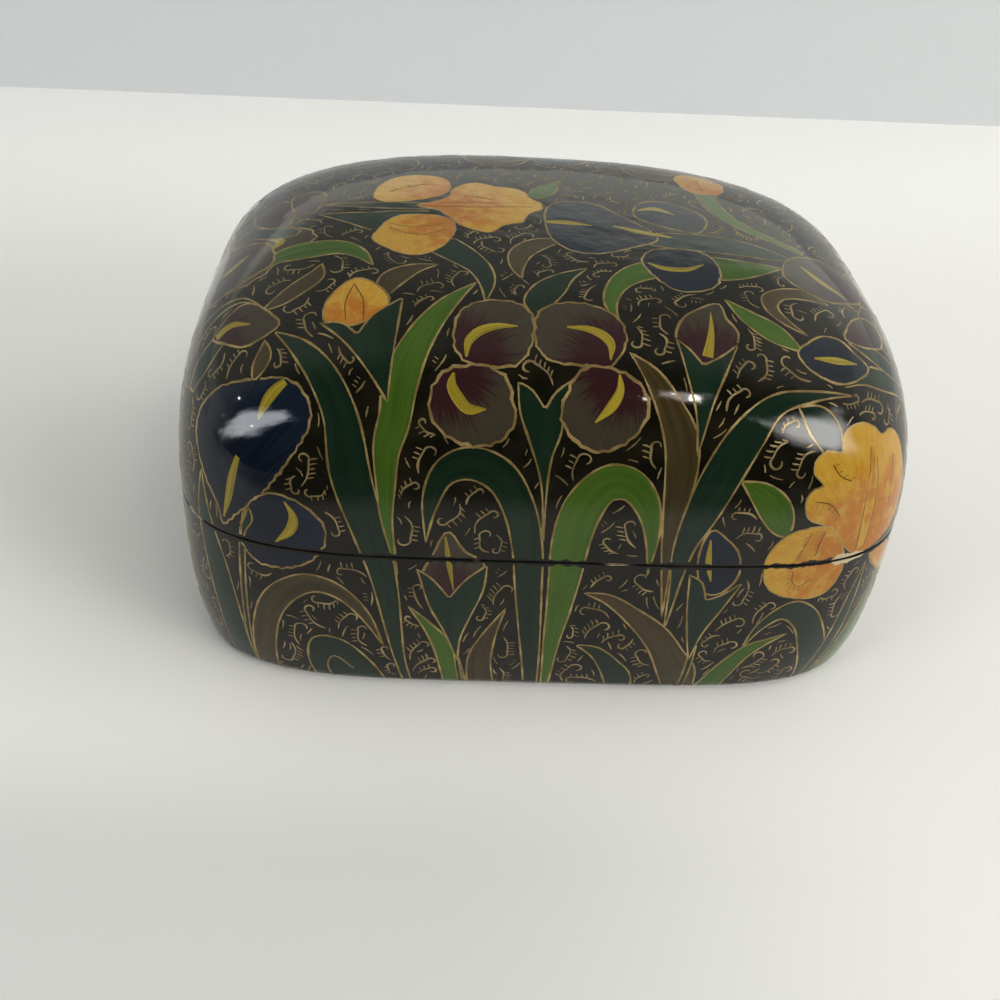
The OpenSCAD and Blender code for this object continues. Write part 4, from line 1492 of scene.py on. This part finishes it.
def stroke_piece(name, body, kind, material, relief):
    """One piece of all the lines of a kind on a body, shaded level with the lacquer."""
    edges, first = [], 0
    for path, half, closed in strokes[body, kind]:
        edges += [(first + i, first + i + 1) for i in range(len(path) - 1)]
        edges += [(first + len(path) - 1, first)] if closed else []
        first += len(path)
    flat_points = np.concatenate([path for path, _, _ in strokes[body, kind]])
    press = np.concatenate([half for _, half, _ in strokes[body, kind]]) * MM
    mesh = bpy.data.meshes.new(name)
    mesh.from_pydata((on_skin(flat_points) * MM).tolist(), edges, [])
    lay = mesh.attributes.new("lay", "FLOAT_VECTOR", "POINT")
    lay.data.foreach_set("vector", skin_normal(flat_points).ravel())
    mesh.attributes.new("press", "FLOAT", "POINT").data.foreach_set("value", press)
    obj = bpy.data.objects.new(name, mesh)
    bpy.context.scene.collection.objects.link(obj)
    evaluated(obj, brush_tree, Relief=relief, Paint=material)
    level = np.zeros(3 * len(obj.data.vertices))
    obj.data.attributes["lay"].data.foreach_get("vector", level)
    level = level.reshape(-1, 3)
    level /= np.linalg.norm(level, axis=1, keepdims=True)
    obj.data.polygons.foreach_set("use_smooth", [True] * len(obj.data.polygons))
    obj.data.normals_split_custom_set_from_vertices(level.tolist())
    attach(obj, body)
    print(name, len(obj.data.polygons), "faces")
    return obj


def gilt_colour(dark, light):
    def build(tree):
        return blend_colours(tree, mottle(tree, 350.0), dark, light)
    return build


GILT = {"gloss": 0.3, "metal": 0.3}
gilt = lacquered("gilt_outline", gilt_colour(rgb(110, 90, 50), rgb(154, 132, 84)), **GILT)
gilt_fill = lacquered("gilt_filling", gilt_colour(rgb(102, 86, 54), rgb(146, 128, 88)), **GILT)
ink = lacquered("ink_line", gilt_colour(rgb(70, 46, 22), rgb(98, 68, 34)))
# The last number is the ridge's height as a share of the line's half width
for body in ("lid", "base"):
    stroke_piece(body + "_gilt_outlines", body, "gilt", gilt, 0.12)
    stroke_piece(body + "_gilt_filling", body, "fill", gilt_fill, 0.18)
    stroke_piece(body + "_ink_lines", body, "ink", ink, 0.3)

# %% [markdown]
# ## Inside the box
# The painted coats lie on two shells of pulp, and a card strip stands in the base's rim.
# Each could be a thickened copy of the skin, but the base has a flat floor with a round
# fillet and the lid is smooth right up, so each is skinned over its own levels. The
# inside is uneven as moulded pulp is, except where the strip has to slide.

# %% Solids skinned over levels
BASE_INSIDE, LID_INSIDE = COAT_T + GLUE_T + BASE_WALL_T, COAT_T + GLUE_T + LID_WALL_T
COLLAR_T, COLLAR_FIT, COLLAR_LEAD, COLLAR_BUTT = 1.5, 0.3, 0.5, 0.4
TURNS = np.linspace(0, 2 * math.pi, 240, endpoint=False)
# The pulp is smooth above this height in the base and below this one in the lid, for the
# collar, and grows uneven over these distances
BASE_SMOOTH_Z, BASE_GROW, LID_SMOOTH_Z, LID_GROW = 19, 4, 33, 5
# Least depth of the uneven pulp, and the half size that turns a depth into a share
PULP_DIP, PULP_HALF = 0.07, 50


def skinned(name, points, faces, material, sharp=35):
    mesh = bpy.data.meshes.new(name)
    mesh.from_pydata((np.array(points) * MM).tolist(), [], faces)
    mesh.materials.append(material)
    mesh.polygons.foreach_set("use_smooth", [True] * len(faces))
    mesh.set_sharp_from_angle(angle=math.radians(sharp))
    obj = bpy.data.objects.new(name, mesh)
    bpy.context.scene.collection.objects.link(obj)
    print(name, len(faces), "faces")
    return obj


def cup(name, rings, first_middle, last_middle, material):
    """A solid skinned over rings and closed at both ends by fans."""
    n, points, faces = len(rings[0]), np.concatenate(rings).tolist(), []
    first, last = len(points), len(points) + 1
    points += [first_middle, last_middle]
    end = (len(rings) - 1) * n
    for i in range(n):
        j = (i + 1) % n
        faces += [[k * n + i, k * n + j, (k + 1) * n + j, (k + 1) * n + i] for k in range(len(rings) - 1)]
        faces += [[j, i, first], [end + i, end + j, last]]
    return skinned(name, points, faces, material)


def unevenness(turn, z, reach=0.14):
    """How far moulded pulp stands in from its true form, in millimetres."""
    wave = (np.sin(3 * turn + z * 0.21 + 1) + np.sin(7 * turn - z * 0.33) * 0.6
            + np.sin(13 * turn + z * 0.5 + 2) * 0.35)
    return reach * (0.5 + wave / 3.9)


def dented(ring, z, amount=1.0):
    """A ring of points drawn in by the pulp's unevenness."""
    ring[:, :2] *= 1 - (unevenness(TURNS, z) * amount / PULP_HALF)[:, None]
    return ring


def base_pulp(material):
    outside = [level_point(TURNS, z, COAT_T + GLUE_T) for z in np.concatenate([
        np.linspace(0, FOOT_EASE_H, 6), np.linspace(FOOT_EASE_H, BASE_RIM_Z - 0.15, 22)[1:]])]
    rim = [level_point(TURNS, BASE_RIM_Z, COAT_T + GLUE_T, 0.12),
           level_point(TURNS, BASE_RIM_Z, BASE_INSIDE)]
    wall = []
    for z in np.linspace(BASE_RIM_Z, FLOOR_T + FLOOR_FILLET, 24)[1:]:
        rough = np.clip((BASE_SMOOTH_Z - z) / BASE_GROW, 0, 1)
        wall.append(dented(level_point(TURNS, z, BASE_INSIDE, rough * PULP_DIP), z, rough))
    for a in np.radians(np.linspace(0, 90, 11))[1:]:
        z = FLOOR_T + FLOOR_FILLET * (1 - math.sin(a))
        inset = FLOOR_FILLET * (1 - math.cos(a)) + PULP_DIP
        wall.append(dented(level_point(TURNS, z, BASE_INSIDE, inset), z))
    floor = []
    for share in np.linspace(1, 0, 22)[1:-1]:
        ring = wall[-1] * (share, share, 1)
        ring[:, 2] += (1 - share) * unevenness(TURNS * 2, share * 40, 0.12)
        floor.append(ring)
    return cup("base_pulp_shell", outside + rim + wall + floor, [0, 0, 0], [0, 0, FLOOR_T + 0.08], material)


def lid_pulp(material):
    inside = []
    for a in np.radians(np.linspace(90, 0, 44))[1:]:
        z = LID_RIM_Z + (BOX_H - LID_INSIDE - LID_RIM_Z) * math.sin(a)
        rough = np.clip((z - LID_SMOOTH_Z) / LID_GROW, 0, 1)
        inside.append(dented(level_point(TURNS, z, LID_INSIDE), z, rough))
    dome = BOX_H - COAT_T - GLUE_T - LID_RIM_Z
    outside = [level_point(TURNS, LID_RIM_Z + dome * math.sin(a), COAT_T + GLUE_T)
               for a in np.radians(np.linspace(0, 90, 36))[:-1]]
    return cup("lid_pulp_shell", inside + outside, [0, 0, BOX_H - LID_INSIDE],
               [0, 0, BOX_H - COAT_T - GLUE_T], material)


def collar_strip(material):
    """The bent card strip: its outer face, round lead-in, worn top, inner face and two cut ends."""
    low, high = (corner.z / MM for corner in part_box("rim_collar"))

    def half(size, z, t):
        return (size - t) * float(dome_share(z, t)) - float(foot_inset(z))

    base_room, lid_room = BASE_INSIDE + GLUE_T, LID_INSIDE + COLLAR_FIT
    a, b = (min(half(size, low, base_room), half(size, high, lid_room)) for size in (HALF_W, HALF_D))
    square = min(squareness(low, base_room), squareness(high, lid_room))
    lead = [(COLLAR_LEAD * (1 - math.cos(u)), high - COLLAR_LEAD * (1 - math.sin(u)))
            for u in np.radians((0, 30, 60, 90))]
    section = [(0, low)] + lead + [(COLLAR_T - 0.25, high), (COLLAR_T, high - 0.25), (COLLAR_T, low)]
    slit = math.asin(COLLAR_BUTT / 2 / b)
    points, faces, n = [], [], len(section)
    turns = np.linspace(math.pi / 2 + slit, math.pi * 2.5 - slit, 300)
    for turn in turns:
        reach = unit_reach(turn, square)
        across, along = reach * math.cos(turn), reach * math.sin(turn)
        points += [((a - s) * across, (b - s) * along, z) for s, z in section]
    for i in range(len(turns) - 1):
        here, there = i * n, (i + 1) * n
        faces += [[here + k, there + k, there + (k + 1) % n, here + (k + 1) % n] for k in range(n)]
    faces += [list(range(n)), [len(points) - 1 - k for k in range(n)]]
    return skinned("card_collar_strip", points, faces, material)


# %% Brushed black and rubbed card
def uneven_surface(tree, rough_low, rough_high, bump_scale, strength):
    """Roughness and normal of paint brushed on a fibrous surface."""
    place = object_place(tree)
    upright = (900.0, 900.0, 120.0)
    drawn_out = put(tree, "ShaderNodeVectorMath", {0: place, 1: upright}, operation="MULTIPLY")
    brushed = noise(tree, drawn_out.outputs[0], 1.0, 3.0)
    fibres = noise(tree, place, bump_scale, 5.0, Roughness=0.65)
    height = maths(tree, "MULTIPLY_ADD", brushed, 0.5, fibres)
    bump = put(tree, "ShaderNodeBump", {"Strength": strength, "Distance": 0.0004, "Height": height})
    matt = fade(tree, brushed, 0.3, 0.7)
    return maths(tree, "MULTIPLY_ADD", matt, rough_high - rough_low, rough_low), bump.outputs[0]


def make_black_pulp():
    """Black paint brushed thinly on pulp, rubbed to brown where the box stands."""
    material, tree, shader = new_material("black_painted_pulp")
    paint = blend_colours(tree, mottle(tree, 260.0), rgb(15, 13, 11), rgb(33, 28, 23))
    specks = maths(tree, "MULTIPLY", mottle(tree, 1400.0, 0.62, 0.72), mottle(tree, 200.0, 0.45, 0.65))
    paint = blend_colours(tree, maths(tree, "MULTIPLY", specks, 0.7), paint, rgb(104, 84, 58))
    height = axes(tree, object_place(tree))[2]
    sole = left_of_one(tree, fade(tree, height, 0.05 * MM, 0.6 * MM))
    rubbed = maths(tree, "MULTIPLY", sole, mottle(tree, 420.0, 0.42, 0.62))
    rough, normal = uneven_surface(tree, 0.38, 0.66, 1500.0, 0.35)
    tree.links.new(blend_colours(tree, rubbed, paint, rgb(120, 98, 68)), shader.inputs["Base Color"])
    tree.links.new(rough, shader.inputs["Roughness"])
    tree.links.new(normal, shader.inputs["Normal"])
    return material


def make_collar_card():
    """Black painted card, bare along the top edge where the lid has rubbed it."""
    material, tree, shader = new_material("black_painted_card")
    paint = blend_colours(tree, mottle(tree, 300.0), rgb(17, 15, 13), rgb(36, 31, 26))
    height = axes(tree, object_place(tree))[2]
    ragged_edge = maths(tree, "MULTIPLY_ADD", mottle(tree, 300.0), 0.9 * MM, height)
    ragged_edge = maths(tree, "MULTIPLY_ADD", mottle(tree, 1100.0), 0.4 * MM, ragged_edge)
    rubbed = fade(tree, ragged_edge, 31.8 * MM, 32.9 * MM)
    card = blend_colours(tree, mottle(tree, 1800.0), rgb(96, 76, 50), rgb(150, 124, 86))
    rough, normal = uneven_surface(tree, 0.5, 0.75, 2200.0, 0.3)
    tree.links.new(blend_colours(tree, rubbed, paint, card), shader.inputs["Base Color"])
    tree.links.new(rough, shader.inputs["Roughness"])
    tree.links.new(normal, shader.inputs["Normal"])
    return material


black_pulp, card = make_black_pulp(), make_collar_card()
for piece, body, node, slot in ((base_pulp(black_pulp), "base", "base_shell", "moulded_pulp"),
                                (lid_pulp(black_pulp), "lid", "lid_shell", "moulded_pulp"),
                                (collar_strip(card), "base", "rim_collar", "collar_card")):
    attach(piece, body)
    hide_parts(node)

# %% [markdown]
# ## Camera, light and table
# The camera stands where a fit of the box's outline to the photograph puts it. The lacquer
# shows its surroundings more than its own colour, so the light is built from what it
# reflects: two windows through curtains, a few small lamps and a room that is bright low
# behind the box and dim in front. A finished picture of a room would light it as well, but
# then no lamp could be moved to where its glint belongs.

# %% Camera
# Degrees round from the front and up, the lens's own yaw, pitch and roll, metres from the
# middle of the box to the lens, and the widest angle that the lens takes in
AZIMUTH, ELEVATION, LENS_TURN = -5.566, 31.293, (-1.238, -4.811, 5.072)
AIM, CAMERA_DISTANCE, LENS_ANGLE = (0, 0, 0.02565), 0.2082, 45.882


def set_camera():
    """The photograph's viewing angle: right-hand, upward and forward directions of the lens."""
    azimuth, elevation = math.radians(AZIMUTH), math.radians(ELEVATION)
    yaw, pitch, roll = (math.radians(a) for a in LENS_TURN)
    back = Vector((math.sin(azimuth) * math.cos(elevation), -math.cos(azimuth) * math.cos(elevation),
                   math.sin(elevation)))
    place = Vector(AIM) + back * CAMERA_DISTANCE
    ahead = -back
    right = ahead.cross(Vector((0, 0, 1))).normalized()
    up = right.cross(ahead)
    ahead = ahead * math.cos(yaw) + right * math.sin(yaw)
    right = ahead.cross(up).normalized()
    tipped = ahead * math.cos(pitch) + up * math.sin(pitch)
    up = right.cross(tipped)
    rolled = right * math.cos(roll) + up * math.sin(roll)
    up = rolled.cross(tipped)
    data = bpy.data.cameras.new("camera")
    data.angle = math.radians(LENS_ANGLE)
    data.clip_start, data.clip_end = 0.01, 20
    camera = bpy.data.objects.new("camera", data)
    columns = [rolled, up, -tipped]
    camera.matrix_world = Matrix([[columns[c][r] for c in range(3)] + [place[r]] for r in range(3)]
                                 + [[0, 0, 0, 1]])
    bpy.context.scene.collection.objects.link(camera)
    bpy.context.scene.camera = camera


set_camera()


# %% Table and light
def flat_card(name, corners, material):
    mesh = bpy.data.meshes.new(name)
    mesh.from_pydata(corners, [], [tuple(range(len(corners)))])
    mesh.materials.append(material)
    obj = bpy.data.objects.new(name, mesh)
    bpy.context.scene.collection.objects.link(obj)
    return obj


def plain(name, colour, rough):
    material, _, shader = new_material(name)
    shader.inputs["Base Color"].default_value = colour
    shader.inputs["Roughness"].default_value = rough
    return material


# Metres: the board's far edge runs from its left end to its right end, and the wall stands
# on that edge
TABLE_HALF, NEAR_EDGE = 1.5, -0.2
EDGE_LEFT, EDGE_RIGHT = (-TABLE_HALF, 0.186), (TABLE_HALF, 0.297)
WALL_LOW, WALL_HIGH = -0.1, 0.12


def table_white():
    """White board, with painted light that makes it paler towards the far side, painted soft shade towards
    the near left and a painted shadow past the picture.
    """
    material, tree, shader = new_material("table_white")
    x, y = axes(tree, object_place(tree))[:2]
    # Painted light: the board is paler towards its far side
    colour = blend_colours(tree, fade(tree, y, -0.1, 0.16), rgb(229, 228, 225), rgb(240, 239, 236))
    # Painted soft shade on the board towards the near left
    near, left = (left_of_one(tree, fade(tree, *edge)) for edge in ((y, -0.08, -0.05), (x, -0.02, 0.065)))
    colour = blend_colours(tree, maths(tree, "MULTIPLY", near, left), colour, rgb(207, 207, 205))
    # Painted shadow: the board turns dark grey on its near part, past the picture
    colour = blend_colours(tree, fade(tree, y, -0.14, -0.1), rgb(70, 69, 68), colour)
    tree.links.new(colour, shader.inputs["Base Color"])
    shader.inputs["Roughness"].default_value = 0.6
    return material


table = flat_card("table", [(-TABLE_HALF, NEAR_EDGE, 0), (TABLE_HALF, NEAR_EDGE, 0), (*EDGE_RIGHT, 0),
                            (*EDGE_LEFT, 0)], table_white())
wall = flat_card("wall", [(*EDGE_LEFT, WALL_LOW), (*EDGE_RIGHT, WALL_LOW), (*EDGE_RIGHT, WALL_HIGH),
                          (*EDGE_LEFT, WALL_HIGH)], plain("wall_grey", rgb(192, 195, 196), 0.8))


def towards(turn, tilt, distance):
    """A place seen from the box, turned from the camera's side towards +X and tilted up."""
    a, e = math.radians(turn), math.radians(tilt)
    return distance * Vector((math.sin(a) * math.cos(e), -math.cos(a) * math.cos(e), math.sin(e)))


def lamp(name, place, width, height, radiance, colour=(1, 1, 1), in_gloss=True, tilt=0):
    """An even panel of light that faces the box."""
    data = bpy.data.lights.new(name, "AREA")
    data.shape, data.size, data.size_y = "RECTANGLE", width, height
    data.energy, data.color = radiance * math.pi * width * height, colour
    obj = bpy.data.objects.new(name, data)
    obj.location = place
    aim = (Vector((0, 0, 0.04)) - place).to_track_quat("-Z", "Y")
    obj.rotation_euler = (aim @ Quaternion((0, 0, 1), math.radians(tilt))).to_euler()
    obj.visible_glossy = in_gloss
    bpy.context.scene.collection.objects.link(obj)
    return obj


def ragged(obj, fineness):
    """Makes a panel's light patchy and lets it die away at the edges, as through a curtain."""
    obj.data.use_nodes = True
    tree = obj.data.node_tree
    place = put(tree, "ShaderNodeNewGeometry").outputs["Parametric"]
    inwards = [left_of_one(tree, maths(tree, "ABSOLUTE", maths(tree, "MULTIPLY_ADD", part, 2.0, -1.0)))
               for part in axes(tree, place)[:2]]
    patchy = noise(tree, place, fineness, 3.0)
    patchy = maths(tree, "MULTIPLY_ADD", patchy, 1.1, maths(tree, "MULTIPLY", *inwards))
    tree.links.new(fade(tree, patchy, 0.62, 1.1), tree.nodes["Emission"].inputs["Strength"])


lamp("ceiling", Vector((0, 0, 2.2)), 2.4, 2.4, 0.6, in_gloss=False)
lamp("key", Vector((0.95, -0.1, 0.75)), 0.8, 0.8, 2.1, in_gloss=False)
ragged(lamp("window_left", towards(-60, 15, 1.5), 1.4, 0.5, 13, (0.92, 0.96, 1), tilt=34), 3.0)
ragged(lamp("window_right", towards(54, 22, 1.5), 1.1, 0.9, 16, (1, 0.98, 0.94)), 2.0)
# Small lamps, each leant so that the shoulder shows it as a round glint: degrees round and
# up, metres wide and high, degrees of lean, and radiance
for turn, up, wide, tall, lean, radiance in (
        (16.3, 41.2, 0.018, 0.17, -13, 70), (24.4, 47.7, 0.02, 0.11, -22, 60),
        (26.8, 44.9, 0.055, 0.26, -23, 60), (-78.8, 22.4, 0.08, 0.05, 10, 60),
        (-58.2, 13.7, 0.1, 0.07, 0, 26)):
    place = towards(turn, up, 1.6)
    ragged(lamp("small_lamp", place, wide, tall, radiance, (1, 0.95, 0.88), tilt=lean), 2.0)
ragged(lamp("lamp_glow", towards(25, 45.5, 1.62), 0.24, 0.42, 9, (1, 0.9, 0.85), tilt=-23), 2.0)


def set_world():
    """Bright walls low behind the box that fade upwards, lit sides, and a dim room in front."""
    world = bpy.data.worlds.new("room")
    bpy.context.scene.world = world
    world.use_nodes = True
    tree = world.node_tree
    x, y, z = axes(tree, put(tree, "ShaderNodeTexCoord").outputs["Generated"])
    top = fade(tree, maths(tree, "MULTIPLY_ADD", x, -0.15, z), 0.34, 0.4)
    aside = maths(tree, "MULTIPLY", fade(tree, maths(tree, "ABSOLUTE", x), 0.3, 0.7), 0.4)
    low = maths(tree, "MULTIPLY", left_of_one(tree, top), maths(tree, "SUBTRACT", 0.68, aside))
    right = maths(tree, "MULTIPLY", fade(tree, x, 0.25, 0.6), 0.45)
    left = maths(tree, "MULTIPLY", fade(tree, maths(tree, "MULTIPLY", x, -1.0), 0.2, 0.5), 0.25)
    glow = maths(tree, "ADD", maths(tree, "ADD", low, 0.28), maths(tree, "ADD", left, right))
    glow = maths(tree, "MULTIPLY_ADD", glow, fade(tree, y, -0.45, 0.1), 0.03)
    background = tree.nodes["Background"]
    background.inputs[0].default_value = (0.98, 1, 0.92, 1)
    tree.links.new(glow, background.inputs[1])


set_world()
bpy.context.scene.view_settings.view_transform = "Standard"
